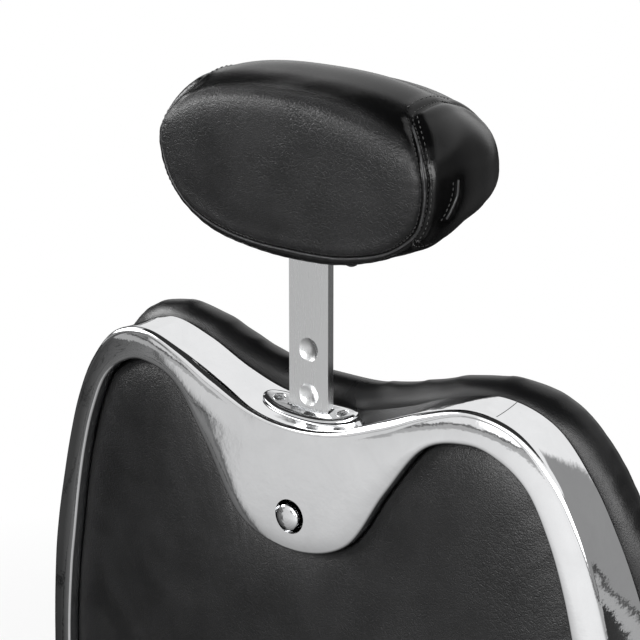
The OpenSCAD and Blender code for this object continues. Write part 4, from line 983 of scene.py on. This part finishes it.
def make_back_cushion():
    near = frame_depth + cushion_gap
    edge = outline(cushion_edge, 6)
    front = outline(band_front, 6)
    rows = [on_back(shrunk(front, s), near) for s in (0.15, 0.35, 0.55, 0.75, 0.9)]
    # the rolled edge, by its share of the way from the frame to the cushion's outline, and its thickness
    for across, thick in ((-0.25, 0.0), (0.1, 0.01), (0.55, 0.07), (0.83, 0.125), (0.98, 0.19), (0.94, 0.26),
                          (0.78, 0.33), (0.42, 0.42), (0.1, 0.49)):
        rows.append(on_back(front + (edge - front) * (across - 0.02), near + cushion_t * thick))
    # the front
    for size, thick in ((0.93, 0.62), (0.85, 0.70), (0.76, 0.77), (0.64, 0.84), (0.5, 0.90), (0.35, 0.94),
                        (0.2, 0.965)):
        rows.append(on_back(shrunk(front, size), near + cushion_t * thick))
    ends = np.concatenate([on_back(panel_middle, near), on_back(panel_middle, near + cushion_t * 0.975)])
    piece = skinned("back_cushion_leather", rows, rolled_hide, ends)

    def held(p):
        # the rolled edge is drawn tight over its board, and only the front is loose enough to swell
        ahead = back_y - frame_depth - float(sag(p[0])) - p[1]
        return 1.0 - float(ease((ahead - roll_depth) / roll_fade))

    stuffed(piece, rolled_hide, voxel=0.0075, pressure=2.2, most=0.006, hold=held)
    # the side next to the frame stays where the solid is
    co = coords_of(piece.data)
    co[:, 1] = np.minimum(co[:, 1], back_y - frame_depth - cushion_gap - sag(co[:, 0]))
    set_coords(piece.data, co)
    return piece


cushion = make_back_cushion()
cushion_tree = tree_of(cushion)
seam_line = shrunk(outline(band_front, 8), 0.94)


def on_front(line, lift):
    """Points of an (x, z) line thrown from the front onto the cushion."""
    places = [thrown(cushion_tree, (x, 0, z), [(0, 1, 0)], lift) for x, z in line]
    return np.array([p for p in places if p is not None])


cushion_welt = welt("back_cushion_welt", on_front(seam_line, 0.0006), 0.0026, tight_hide)
cushion_sewing = sew("back_cushion_stitches", on_front(seam_line + inward(seam_line) * 0.0075, 0.0002),
                     *cushion_stitch, black_thread, closed=True)
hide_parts("back_cushion")
for p in (cushion, cushion_welt, cushion_sewing):
    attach(p, "back")


# Oval plate round the bar and its two countersunk screws, bent to the dip of the band
plate_r = 0.200
plate_half_l = 0.042
plate_half_w = 0.012
plate_t = 0.0025
plate_lean = math.radians(14)
plate_middle = np.array([0, 0.275, 1.00527])
plate_power = 2.4
plate_points = 128
screw_reach = 0.029
screw_points = 48


def on_plate(x, y, up):
    """A place on the plate: x along it, y across it and up off its underside, in the chair's frame."""
    a = np.asarray(x) / plate_r
    r = plate_r - np.asarray(up)
    flat_x, flat_y, flat_z = r * np.sin(a), np.asarray(y) + 0 * a, plate_r - r * np.cos(a)
    c, s = math.cos(plate_lean), math.sin(plate_lean)
    return np.stack([flat_x, flat_y * c + flat_z * s, flat_z * c - flat_y * s], -1) + plate_middle


def screw_part(name, side, profile, bottom, top, material):
    """A round or hexagonal part at a screw's place, from (radius, height, whether hexagonal)."""
    turn = turns(screw_points)
    corner = np.cos(math.pi / 6) / np.cos((turn + math.pi / 6) % (math.pi / 3) - math.pi / 6)
    rings = []
    for r, up, hexed in profile:
        reach = r * (corner if hexed else 1.0)
        x, y = side * screw_reach + reach * np.cos(turn), reach * np.sin(turn)
        rings.append(on_plate(x, y, np.full(screw_points, up)))
    ends = [on_plate(side * screw_reach, 0.0, up) for up in (bottom, top)]
    return skinned(name, rings, material, ends)


def make_slot_plate():
    outer = [oval(plate_half_l - inset, plate_half_w - inset, plate_power, plate_points)
             for inset in (0.0, 0.0, 0.0002, 0.0014, 0.0022, 0.0028)]
    slot = oval(bar_half + 0.0014, 0.0044, 14, plate_points)
    lines = list(zip(outer, (0.0, 0.0011, 0.0016, 0.0021, 0.00245, plate_t)))
    lines += [(slot + (outer[-1] - slot) * k, plate_t) for k in (0.75, 0.5, 0.25)]
    lines += [(slot * (1 + grow / 0.018), up) for grow, up in (
        (0.0004, plate_t), (0.0001, plate_t - 0.0003), (0.0, plate_t - 0.0008), (0.0, 0.0))]
    rings = [on_plate(line[:, 0], line[:, 1], np.full(plate_points, up)) for line, up in lines]
    piece = skinned("slot_plate_chrome", rings, chrome, loop=True)
    above = plate_t + 0.002
    hole = [(0.0030, -0.0002, 0), (0.0030, 0.0008, 0), (0.00495, plate_t - 0.0001, 0), (0.00495, above, 0)]
    cut_away(piece, [screw_part("screw_cutter", side, hole, -0.0002, above, chrome) for side in (-1, 1)])
    shade_by_angle(piece.data, 24)
    return piece


def make_plate_screws():
    profile = [(0.0026, 0.0002, 0), (0.0026, 0.0009, 0), (0.0042, 0.0020, 0), (0.0042, 0.0023, 0),
               (0.0039, 0.0026, 0), (0.0030, 0.0028, 0), (0.00205, 0.0028, 1), (0.00195, 0.0026, 1),
               (0.0019, 0.0012, 1)]
    piece = joined("plate_screws_steel", [
        screw_part("plate_screw", side, profile, 0.0002, 0.0010, socket_steel) for side in (-1, 1)])
    shade_by_angle(piece.data, 30)
    return piece


slot_plate = make_slot_plate()
plate_screws = make_plate_screws()
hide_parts("slot_plate")
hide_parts("plate_screws")
for p in (slot_plate, plate_screws):
    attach(p, "back")


# Headrest: one dense skin over its rows, with its seams pressed in
def head_ring(t, turn):
    """The ring of points at a place t along the headrest's rows."""
    i = int(min(max(math.floor(t), 0), len(head_rows) - 2))
    depth, a, top, low, power = catmull(*span_of(head_rows, i), t - i)
    c, s = np.cos(turn), np.sin(turn)
    e = np.where(s > 0, power, head_low_power)
    x = a * squared_off(c, e)
    z = squared_off(s, e)
    z = np.where(z > 0, z * top, z * low)
    y = head_rear_y / MM - depth + head_lean * z * (1 - max(0.0, depth / head_depth))
    return np.stack([x, y, z + head_z / MM], 1) * MM


def head_points(places, side=1):
    """Points in metres for seam places on the right or, mirrored, on the left side of the headrest."""
    return np.asarray(places, float) * MM * (side, 1, 1) + np.array([0, head_rear_y, head_z])


# Seam places on the headrest, in millimetres: x, y from the rear plane, z from the middle
face_seam = [
    (-92, -18.8, 41), (-99.9, -12.7, 33.2), (-107.8, -7.7, 24), (-112.7, -4.5, 14), (-114.6, -4.2, 3),
    (-114.3, -5, -7), (-111.3, -6.1, -20.4), (-105.7, -7.3, -31.6), (-94.9, -6.6, -41.5),
    (-79.2, -5.6, -49.4),
    (-50.5, -4.7, -56.3), (-25.9, -4.4, -58.4), (0, -4.1, -58.6), (25.9, -4.4, -58.0), (50.5, -4.5, -55.2),
    (72, -4.4, -49.8), (90, -4.6, -41.4), (104.1, -4.2, -27.5), (110.5, -3.9, -12), (113.2, -3.6, 2),
    (111.8, -4.5, 14), (106.8, -7.7, 24.5), (99.9, -12.7, 33.2), (92, -18.8, 41)]
cap_seam = [
    (93.6, -23.1, 42.5), (103.2, -15.9, 33.1), (109.6, -11.7, 24.8), (114.8, -9.2, 16.1), (117.9, -8.5, 6.8),
    (117.7, -7.8, -3), (116.5, -8.6, -13.4), (114.2, -8.7, -20.5), (110.1, -10, -29.5), (104.2, -11.3, -38.5),
    (103, -20, -46), (105, -32, -44), (109, -46, -34), (114, -60, -24), (113, -74, -17), (106, -86, -6),
    (102, -91, 8), (99, -90, 22), (93, -86, 36), (89, -78, 43), (90.8, -62.6, 47.1), (92.9, -47.3, 48.5),
    (93.2, -34.7, 46.5)]
cap_outer = [
    (86.5, -25.0, 46.6), (86.8, -37.3, 50.2), (87.0, -51.4, 51.6), (85.6, -64, 50.2), (84.2, -74, 47)]
slit = [
    (124.9, -31.0, 3.5), (124.8, -30.8, -1.5), (124.5, -30.6, -6.4), (123.2, -28.6, -12.8),
    (121.8, -27.2, -17.5), (119.6, -25.8, -22.4)]
slit_sewing = [
    (124.2, -25.0, 2.0), (123.8, -25.0, -2.8), (122.9, -23.6, -10.0), (120.8, -22.0, -16.6),
    (118.3, -20.4, -22.0)]


def open_path(knots, count):
    out = []
    for i in range(len(knots) - 1):
        span = span_of(knots, i)
        out += [catmull(*span, u) for u in np.linspace(0, 1, 12, endpoint=False)]
    out.append(knots[-1])
    return resampled(out, count)


def make_headrest():
    rows = [head_ring(t, turns(300)) for t in steps_through((0, 3, 25), (3, 9, 55), (9, 15, 59))]
    ends = head_points([(0, 6.3, -2), (0, -head_depth - 0.1, 0)])
    return skinned("headrest_leather", rows, head_hide, ends)


headrest = make_headrest()
head_tree = tree_of(headrest)
both_sides = (1, -1)
seam_sunk = 0.0017
seam_swell = 0.0008
slit_sunk = 0.0022
hollow_size = 0.00028
pucker_size = 0.00022
pucker_pitch = 0.0105
strip_width = 0.012
strip_grain = 0.15
face_path = laid_on(head_tree, open_path(head_points(face_seam), 420))
cap_paths = [laid_on(head_tree, resampled(smooth_loop(head_points(cap_seam, side), 12), 340, closed=True))
             for side in both_sides]
slit_paths = [laid_on(head_tree, open_path(head_points(slit, side), 60)) for side in both_sides]


def outside_face(co):
    """Above 0 outside the lower part of the face seam, seen from the rear."""
    middle = np.array([0, head_z - 0.003])
    flat = co[:, (0, 2)] - middle
    seam = face_path[:, (0, 2)] - middle
    seam_at = np.arctan2(seam[:, 1], seam[:, 0])
    order = np.argsort(seam_at)
    far = np.interp(np.arctan2(flat[:, 1], flat[:, 0]), seam_at[order], np.linalg.norm(seam, axis=1)[order],
                    period=2 * math.pi)
    return np.where(flat[:, 1] < 0.030, np.linalg.norm(flat, axis=1) - far, -1)


def press_seams(waves=18):
    mesh = headrest.data
    co = coords_of(mesh)
    face_gap, face_at = nearest_on(co, face_path)
    cap_gap = np.minimum(*[nearest_on(co, p)[0] for p in cap_paths])
    slit_gap = np.minimum(*[nearest_on(co, p)[0] for p in slit_paths])
    seam_gap = np.minimum(face_gap, cap_gap)
    push = -seam_sunk * np.exp(-(seam_gap / 0.0017) ** 2)
    push += seam_swell * np.exp(-((seam_gap - 0.006) / 0.0042) ** 2)
    push -= slit_sunk * np.exp(-(slit_gap / 0.0013) ** 2)
    # soft hollows and puckers of the stretched rear face
    rng = np.random.default_rng(5)
    rear = ease((co[:, 1] - (head_rear_y - 0.030)) / 0.018)
    soft = np.zeros(len(co))
    for _ in range(waves):
        way = unit(rng.normal(size=3))
        soft += np.sin(co @ way * rng.uniform(60, 210) + rng.uniform(0, 2 * math.pi)) / waves ** 0.5
    push += hollow_size * soft * rear
    run = run_of(face_path)[face_at]
    pucker = np.sin(run * 2 * math.pi / pucker_pitch) * np.exp(-face_gap / 0.007) * ease(face_gap / 0.002)
    push += pucker_size * pucker * rear
    normals = coords_of(mesh, "normal")
    set_coords(mesh, co + normals * push[:, None])
    # the rear face is grained, but the strip below its seam is nearly smooth; these values also paint the
    # face paler as painted sheen and the wrap and strip darker as painted shade
    grain = ease((co[:, 1] - (head_rear_y - 0.010)) / 0.008) * ease(face_gap / 0.002)
    grain = np.where((face_gap < strip_width) & (outside_face(co) > 0), strip_grain, grain)
    layer = mesh.attributes.new("grain", "FLOAT", "POINT")
    layer.data.foreach_set("value", grain.astype(np.float32))


press_seams()


def beside(path, toward, amount, lift):
    """The path moved sideways on the headrest as it was before the seams, towards or away from a point."""
    out = []
    for i, p in enumerate(path):
        along = path[min(i + 1, len(path) - 1)] - path[max(i - 1, 0)]
        _, normal, _, _ = head_tree.find_nearest(Vector(p))
        side = np.cross(np.array(normal), along)
        side /= max(np.linalg.norm(side), 1e-9)
        if np.dot(side, toward - p) < 0:
            side = -side
        out.append(laid_on(head_tree, [p + side * amount], lift)[0])
    out = np.array(out)
    for _ in range(4):
        out[1:-1] = out[1:-1] * 0.5 + (out[:-2] + out[2:]) * 0.25
    return out


def sunk_ends(path, count=16, depth=0.0022):
    """The path with both ends drawn into the leather."""
    out = np.array(path)
    for i in range(count):
        down = depth * (1 - i / count) ** 1.5
        for k in (i, len(out) - 1 - i):
            _, normal, _, _ = head_tree.find_nearest(Vector(out[k]))
            out[k] -= np.array(normal) * down
    return out


# Welt and stitches of the headrest: dark ones inside the face seam and small ones on the wrap outside it
rear_middle = np.array([0, head_rear_y, head_z])
face_edge = sunk_ends(beside(face_path, rear_middle, -0.0012, lift=-0.0004))
inside_seam = beside(face_path, rear_middle, 0.0017, lift=-0.0004)
on_wrap = beside(face_path, rear_middle, -0.0056, lift=0.0004)
head_trim = [
    welt("face_welt", face_edge, 0.0008, welt_hide, closed=False),
    sew("face_stitches", inside_seam, *face_stitch, black_thread),
    sew("wrap_stitches", on_wrap, *wrap_stitch, pale_thread, seed=5)]
for side, cap_path, slit_path in zip(both_sides, cap_paths, slit_paths):
    end = np.array([side * 0.16, head_rear_y - 0.045, head_z])
    inside_cap = beside(cap_path, end, -0.0015, lift=-0.0007)
    by_cut = beside(slit_path, end, -0.0012, lift=-0.0002)
    on_top = laid_on(head_tree, open_path(head_points(cap_outer, side), 60), 0.0009)
    by_slit = laid_on(head_tree, open_path(head_points(slit_sewing, side), 40), 0.0002)
    head_trim += [
        sew("cap_stitches", inside_cap, *cap_stitch, black_thread, seed=7, closed=True),
        sew("top_stitches", on_top, *top_stitch, pale_thread, seed=9),
        welt("slit_welt", by_cut, 0.0009, welt_hide, closed=False),
        sew("slit_stitches", by_slit, *slit_stitch, pale_thread, seed=11)]
head_seams = joined("headrest_seams", head_trim)
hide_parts("headrest_cushion")
for p in (headrest, head_seams):
    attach(p, "headrest")


# Ribbed cap on the bar's clamping screw, just under the headrest
def make_tension_cap(n=72):
    low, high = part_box("tension_cap")
    x, y = (low.x + high.x) / 2, (low.y + high.y) / 2
    turn = turns(n)
    rib = 1 + 0.05 * np.cos(turn * 12)
    profile = [(0.0026, high.z, 0), (0.0040, high.z - 0.0006, 0), (0.0040, low.z + 0.0022, 0),
               (0.0046, low.z + 0.0014, 1), (0.0048, low.z - 0.0006, 1), (0.0046, low.z - 0.0024, 1),
               (0.0038, low.z - 0.0040, 0), (0.0022, low.z - 0.0048, 0)]
    rings = []
    for r, z, ribbed in profile:
        reach = r * (rib if ribbed else 1.0)
        rings.append(np.stack([x + reach * np.cos(turn), y + reach * np.sin(turn), np.full(n, z)], 1))
    piece = skinned("tension_cap_plastic", rings, plastic, [(x, y, high.z), (x, y, low.z - 0.0051)])
    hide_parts("tension_cap")
    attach(piece, "headrest")


make_tension_cap()


# Seat cushion, arm pads and calf pad: upholstered blocks that share one way of making
pad_pressure = 3.0


def make_pad(name, rings, top, voxel=0.005, most=0.004, held=0.003, floor=0.0003):
    """A block over rings from its underside up, blown up, with the part below held kept still."""
    piece = skinned(name, rings, grain_hide, [(0, 0, rings[0][0, 2]), (0, 0, top)])
    stuffed(piece, grain_hide, voxel, pad_pressure, most, lambda p: 1.0 if p[2] < held else 0.0)
    co = coords_of(piece.data)
    co[:, 2] = np.maximum(co[:, 2], floor)
    set_coords(piece.data, co)
    return piece


def around(tree, a, b, power, height, n, lift):
    """An even loop on the sides of a block at one height, found from outside."""
    out = []
    for x, y in oval(a * 1.2, b * 1.2, power, n):
        place = thrown(tree, (x, y, height), [(-x / (a * a), -y / (b * b), 0), (-x, -y, 0)], lift)
        if place is not None:
            out.append(place)
    return out


def edge_trim(name, pad, a, b, power, n, welt_z, sewing_z):
    """The welt and the stitches round a small pad."""
    tree = tree_of(pad)
    loop = resampled(around(tree, a, b, power, welt_z, n, 0.0003), n, True)
    sewing = resampled(around(tree, a, b, power, sewing_z, n, 0.0001), n, True)
    return joined(name, [
        welt("edge_welt", loop, 0.0022, tight_hide),
        sew("edge_stitches", sewing, *pad_stitch, black_thread, closed=True)])


def moved(pieces, matrix):
    for piece in pieces:
        piece.data.transform(matrix)
        piece.data.update()
    return pieces


seat_low, seat_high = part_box("seat_cushion")
seat_a = (seat_high.x - seat_low.x) / 2 - 0.004
seat_b = (seat_high.y - seat_low.y) / 2 - 0.004
seat_mid = Vector((0, (seat_high.y + seat_low.y) / 2, seat_low.z))
seat_power = 7
seat_top = 0.1137
channel_y = (-0.075, 0.075)
seat_rows = [
    (0.35, 0.0005, 7), (0.7, 0.0005, 7), (0.94, 0.0005, 7), (0.985, 0.006, 7), (0.995, 0.022, 7),
    (0.985, 0.045, 7), (0.99, 0.066, 7), (1.0, 0.080, 7), (0.975, 0.090, 6), (0.90, 0.0975, 6),
    (0.72, 0.1045, 5), (0.50, 0.1095, 4.5), (0.25, 0.1125, 4), (0.05, 0.1135, 3)]


def across_seat(tree, y, lift):
    """A line straight across the top of the seat."""
    reach = seat_a * 0.86
    return np.array([thrown(tree, (x, y, 0.3), [(0, 0, -1)], lift) for x in np.linspace(-reach, reach, 90)])


def make_seat_cushion():
    rings = level_rings([(seat_a * share, seat_b * share, z, power) for share, z, power in seat_rows], 96)
    piece = make_pad("seat_cushion_leather", rings, seat_top, voxel=0.0075, most=0.007, held=0.005,
                     floor=0.0004)
    tree = tree_of(piece)
    trims = []
    for height, radius in ((0.083, 0.0032), (0.012, 0.0028)):
        loop = resampled(around(tree, seat_a, seat_b, seat_power, height, 320, 0.0004), 300, True)
        trims.append(welt("seat_welt", loop, radius, tight_hide))
    for height in (0.0755, 0.0195):
        loop = resampled(around(tree, seat_a, seat_b, seat_power, height, 320, 0.0001), 300, True)
        trims.append(sew("seat_stitches", loop, *cushion_stitch, black_thread, closed=True))
    # two sewn channels across the top, drawn into the foam
    for y in channel_y:
        co = coords_of(piece.data)
        gap = nearest_on(co, resampled(across_seat(tree, y, 0.0), 260))[0]
        top = ease((co[:, 2] - 0.085) / 0.012)
        co[:, 2] -= top * (0.0050 * np.exp(-(gap / 0.0065) ** 2) + 0.0018 * np.exp(-(gap / 0.022) ** 2))
        set_coords(piece.data, co)
    tree = tree_of(piece)
    for y in channel_y:
        for shift in (-0.0034, 0.0034):
            line = across_seat(tree, y + shift, 0.0001)
            trims.append(sew("seat_channel_stitches", line, *cushion_stitch, black_thread))
    return moved((piece, joined("seat_cushion_trim", trims)), Matrix.Translation(seat_mid))


seat_pad, seat_trim_sewn = make_seat_cushion()
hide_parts("seat_cushion")
for p in (seat_pad, seat_trim_sewn):
    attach(p, "seat")

pad_base = 0.0004
arm_rows = [
    (0.4, 0), (0.75, 0), (0.93, 0.01), (0.985, 0.1), (1, 0.25), (1, 0.42), (0.975, 0.6), (0.9, 0.76),
    (0.78, 0.87), (0.6, 0.945), (0.4, 0.985), (0.18, 1.0)]


def mirror_image(source, name):
    mesh = source.data.copy()
    mesh.name = name
    mesh.transform(Matrix.Diagonal((-1, 1, 1, 1)))
    mesh.flip_normals()
    return placed(name, mesh)


def make_arm_pads():
    low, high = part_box("arm_pad_left")
    a, b, h = (high.x - low.x) / 2 - 0.002, (high.y - low.y) / 2 - 0.002, high.z - low.z - 0.002
    rings = level_rings([(a * share, b - a * (1 - share), pad_base + h * up, 4)
                         for share, up in arm_rows], 72)
    left = make_pad("arm_pad_left_leather", rings, pad_base + h)
    trim = edge_trim("arm_pad_left_trim", left, a, b, power=3.5, n=220, welt_z=0.0135, sewing_z=0.0195)
    moved((left, trim), Matrix.Translation(((low.x + high.x) / 2, (low.y + high.y) / 2, low.z)))
    right = mirror_image(left, "arm_pad_right_leather")
    right_trim = mirror_image(trim, "arm_pad_right_trim")
    return [(left, trim, "arm_pad_left"), (right, right_trim, "arm_pad_right")]


for pad, trim, node in make_arm_pads():
    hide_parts(node)
    for p in (pad, trim):
        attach(p, "seat")

# The calf pad lies on its board, square to the leg bars
leg_slope = math.radians(54.7618)
calf_half_w = 0.190
calf_half_l = 0.070
calf_t = 0.040
knee = Vector((0, -0.296, 0.357))
calf_along = 0.087
calf_up = 0.0185
calf_rows = [
    (0.3, 0, 6), (0.7, 0, 6), (0.955, 0.01, 6), (0.99, 0.12, 6), (1, 0.3, 6), (1, 0.5, 6), (0.975, 0.68, 6),
    (0.92, 0.8, 6), (0.82, 0.885, 6), (0.66, 0.94, 5), (0.45, 0.975, 5), (0.2, 0.99, 4)]


def make_calf_pad():
    a, b, h = calf_half_w - 0.002, calf_half_l - 0.002, calf_t - 0.002
    rings = level_rings([(a - b * (1 - share), b * share, pad_base + h * up, power)
                         for share, up, power in calf_rows], 80)
    piece = make_pad("calf_pad_leather", rings, calf_t - 0.0012)
    trim = edge_trim("calf_pad_trim", piece, a, b, power=5, n=240, welt_z=0.026, sewing_z=0.020)
    c, s = math.cos(leg_slope), math.sin(leg_slope)
    origin = knee + Vector((0, -calf_along * c - calf_up * s, -calf_along * s + calf_up * c))
    return moved((piece, trim), Matrix.Translation(origin) @ Matrix.Rotation(leg_slope, 4, "X"))


calf, calf_trim = make_calf_pad()
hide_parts("calf_pad")
for p in (calf, calf_trim):
    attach(p, "seat")

# Finishes of the solids that stay as they are
finishes = [
    (rubber, ["foot_ring", "pedal_tread", "foot_tread", "lever_grip"]),
    (chrome, ["base_dome", "gland_cap", "pedal_lever", "arm_tube_left", "arm_tube_right", "leg_bars",
              "clamp_lever", "push_button"]),
    (grey_iron, ["base_ballast", "swivel_hub"]),
    (black_coat, ["pump_housing", "pedal_bracket", "centre_plate", "crossbar_front", "crossbar_rear",
                  "rail_left", "rail_right", "hinge_bracket_left", "hinge_bracket_right"]),
    (turned_steel, ["pump_barrel", "flange_bolts", "pedal_pin", "lift_ram", "hinge_pins", "clamp_bolt",
                    "leg_crossbars", "foot_pins", "latch_bracket", "latch_spring", "latch_yoke", "tilt_pin",
                    "tilt_bracket"]),
    (bronze, ["thrust_washer", "hinge_washers"]),
    (plywood, ["seat_board", "calf_board", "rear_panel_board", "back_board", "headrest_board"]),
    (rail_steel, ["seat_trim"]),
    (aluminium, ["foot_plate"]),
    (plastic, ["bar_guides"]),
    (bar_steel, ["headrest_bar"])]
for material, names in finishes:
    for name in names:
        repaint(nodes[name], material)

# Studio: pale floor with a soft shadow, a bright ring for the chrome to mirror, and plain soft lamps
floor_half = 14.0
floor_fade = 2.2
floor_mirrored = [
    (-180, 0.10), (-139, 0.03), (-134.5, 0.07), (-130, 0.26), (-112, 0.30), (-86, 0.10), (-68, 0.05),
    (14, 0.05), (24, 0.10), (34, 0.14), (44, 0.22), (45.6, 0.05), (46.8, 0.50), (49, 0.62), (70, 0.72),
    (100, 0.92), (140, 0.85), (180, 0.20)]
walls_mirrored = [
    (-180, 0.28), (-104, 0.28), (-84, 0.85), (-43, 0.85), (-35, 0.07), (-14, 0.07), (0, 0.25), (37, 0.22),
    (41, 0.12), (44, 0.60), (62, 0.80), (150, 0.80), (164, 0.28), (180, 0.28)]
sky_mirrored = [
    (0.0, 0.4), (0.493, 0.4), (0.499, 0.04), (0.505, 0.05), (0.515, 0.80), (0.60, 0.88), (1.0, 0.88)]


def all_round(nodes_here, turn, greys):
    """Greys by direction, in degrees from +X."""
    stops = [((degrees + 180) / 360, (v, v, v)) for degrees, v in greys]
    return nodes_here.ramp(nodes_here.spread(turn, -math.pi, math.pi), stops)


def make_floor():
    material = bpy.data.materials.new("studio_floor")
    material.use_nodes = True
    material.node_tree.nodes.clear()
    m = Nodes(material.node_tree)
    place = m.add("ShaderNodeTexCoord").outputs["Object"]
    split = m.add("ShaderNodeSeparateXYZ", {"Vector": place}).outputs
    far = m.add("ShaderNodeVectorMath", {0: place}, operation="LENGTH").outputs["Value"]
    turn = m.maths("ARCTAN2", split["Y"], split["X"])
    # thin dark joints between the slabs of the side floor, which only the mirrored side shows
    joints = m.spread(m.cells(1.1, place), 0.012, 0.03, 0.35, 1.0)
    sideways = m.spread(turn, math.radians(45.6), math.radians(47.4))
    strength = m.maths("MULTIPLY", m.spread(far, 0.6, 2.8, 0.22, 1.0), m.maths("MAXIMUM", joints, sideways))
    # what the chrome mirrors: bright behind the chair, darker to both sides
    greys = all_round(m, turn, floor_mirrored)
    mirrored = m.add("ShaderNodeEmission", {"Color": greys, "Strength": strength})
    paint = m.add("ShaderNodeBsdfDiffuse", {"Color": (0.86, 0.86, 0.86, 1)}).outputs["BSDF"]
    white = m.add("ShaderNodeEmission", {"Color": (1, 1, 1, 1), "Strength": 1.0}).outputs["Emission"]
    seen = m.blend(m.spread(far, floor_fade * 0.45, floor_fade), paint, white)
    m.by_ray("ShaderNodeOutputMaterial", paint, mirrored.outputs["Emission"], seen)
    s = floor_half
    corners = [(-s, -s, 0), (s, -s, 0), (s, s, 0), (-s, s, 0)]
    new_piece("studio_floor", corners, [(0, 1, 2, 3)], material)


make_floor()


def make_world():
    world = bpy.data.worlds.new("studio_world")
    scene.world = world
    world.use_nodes = True
    world.node_tree.nodes.clear()
    w = Nodes(world.node_tree)
    way = w.add("ShaderNodeTexCoord").outputs["Generated"]
    split = w.add("ShaderNodeSeparateXYZ", {"Vector": way}).outputs
    x, y, z = split["X"], split["Y"], split["Z"]
    turn = w.maths("ARCTAN2", y, x)

    def both(a, b):
        return w.maths("MULTIPLY", a, b)

    def either(a, b):
        return w.maths("MAXIMUM", a, b)

    def mixed(fac, a, b):
        # in a colour mix, inputs 6 and 7 and output 2 are the colours
        return w.add("ShaderNodeMix", {0: fac, 6: a, 7: b}, data_type="RGBA").outputs[2]

    def window(value, low, high, soft):
        return both(w.spread(value, low - soft, low + soft), w.spread(value, high + soft, high - soft))

    def panel_of_light(azimuths, heights, turn_soft, height_soft):
        a, b, soft = (math.radians(v) for v in (*azimuths, turn_soft))
        return both(window(turn, a, b, soft), window(z, *heights, height_soft))

    # sky by height: a thin dark skirting at the horizon, then bright; and low walls by direction
    sky = w.ramp(w.spread(z, -1, 1), [(at, (v, v, v)) for at, v in sky_mirrored])
    low = both(w.spread(z, 0.44, 0.40), w.spread(z, 0.004, 0.022))
    room = mixed(low, sky, all_round(w, turn, walls_mirrored))
    # dark ceiling over and behind the chair, and a dark strip beside it
    skewed = w.maths("MULTIPLY_ADD", x, 0.28, y)
    over_back = both(w.spread(skewed, -0.36, -0.29), w.spread(z, 0.61, 0.66))
    strip = both(both(w.spread(skewed, -0.36, -0.30), w.spread(skewed, -0.06, -0.12)),
                 both(w.spread(x, 0.50, 0.58), w.spread(z, 0.14, 0.24)))
    # soft panels of light behind the chair, which the leather shows as its fuzzy shine
    panels = either(either(panel_of_light((-8, 37), (0.14, 0.52), 7, 0.05),
                           panel_of_light((30, 45), (0.40, 0.58), 5, 0.04)),
                    panel_of_light((77, 160), (0.06, 0.42), 6, 0.05))
    lit_room = mixed(panels, room, (1, 1, 1, 1))
    backgrounds = []
    for colour, strength in (((0.8, 0.8, 0.8, 1), 0.55),
                             (mixed(either(over_back, strip), lit_room, (0.03, 0.03, 0.03, 1)),
                              w.maths("MULTIPLY_ADD", panels, 7.0, 1.0)),
                             ((1, 1, 1, 1), 1.0)):
        node = w.add("ShaderNodeBackground", {"Color": colour, "Strength": strength})
        backgrounds.append(node.outputs["Background"])
    w.by_ray("ShaderNodeOutputWorld", *backgrounds)


make_world()


def aimed(thing, place, way):
    thing.location = place
    thing.rotation_mode = "QUATERNION"
    thing.rotation_quaternion = Vector(way).to_track_quat("-Z", "Y")


lamps = [
    ("soft_top", (-0.3, 1.2, 3.4), (0, 0.1, 0.8), 2.4, 40),
    ("soft_back", (2.26, 1.50, 2.52), (0, 0.25, 1.1), 1.3, 40),
    ("soft_right", (-0.45, 3.4, 2.10), (0, 0.25, 0.95), 1.5, 44),
    ("soft_left", (2.6, 2.0, 2.2), (0, 0.1, 0.8), 2.0, 30),
    ("soft_front", (-1.6, -2.8, 2.4), (0, 0.0, 0.7), 2.4, 34)]
for name, place, aim, size, power in lamps:
    light = bpy.data.lights.new(name, "AREA")
    light.shape = "SQUARE"
    light.size = size
    light.energy = power
    lamp = placed(name, light)
    aimed(lamp, place, Vector(aim) - Vector(place))
    lamp.visible_glossy = False

# Camera of the photograph
camera = bpy.data.cameras.new("photo_camera")
camera.lens = 131.3
camera.sensor_width = 36
camera.clip_start = 0.05
camera.clip_end = 60
eye = placed("photo_camera", camera)
aimed(eye, (-0.9807, 1.4848, 1.54885), (0.5992, -0.7452, -0.2927))
scene.camera = eye
scene.view_settings.view_transform = "Standard"
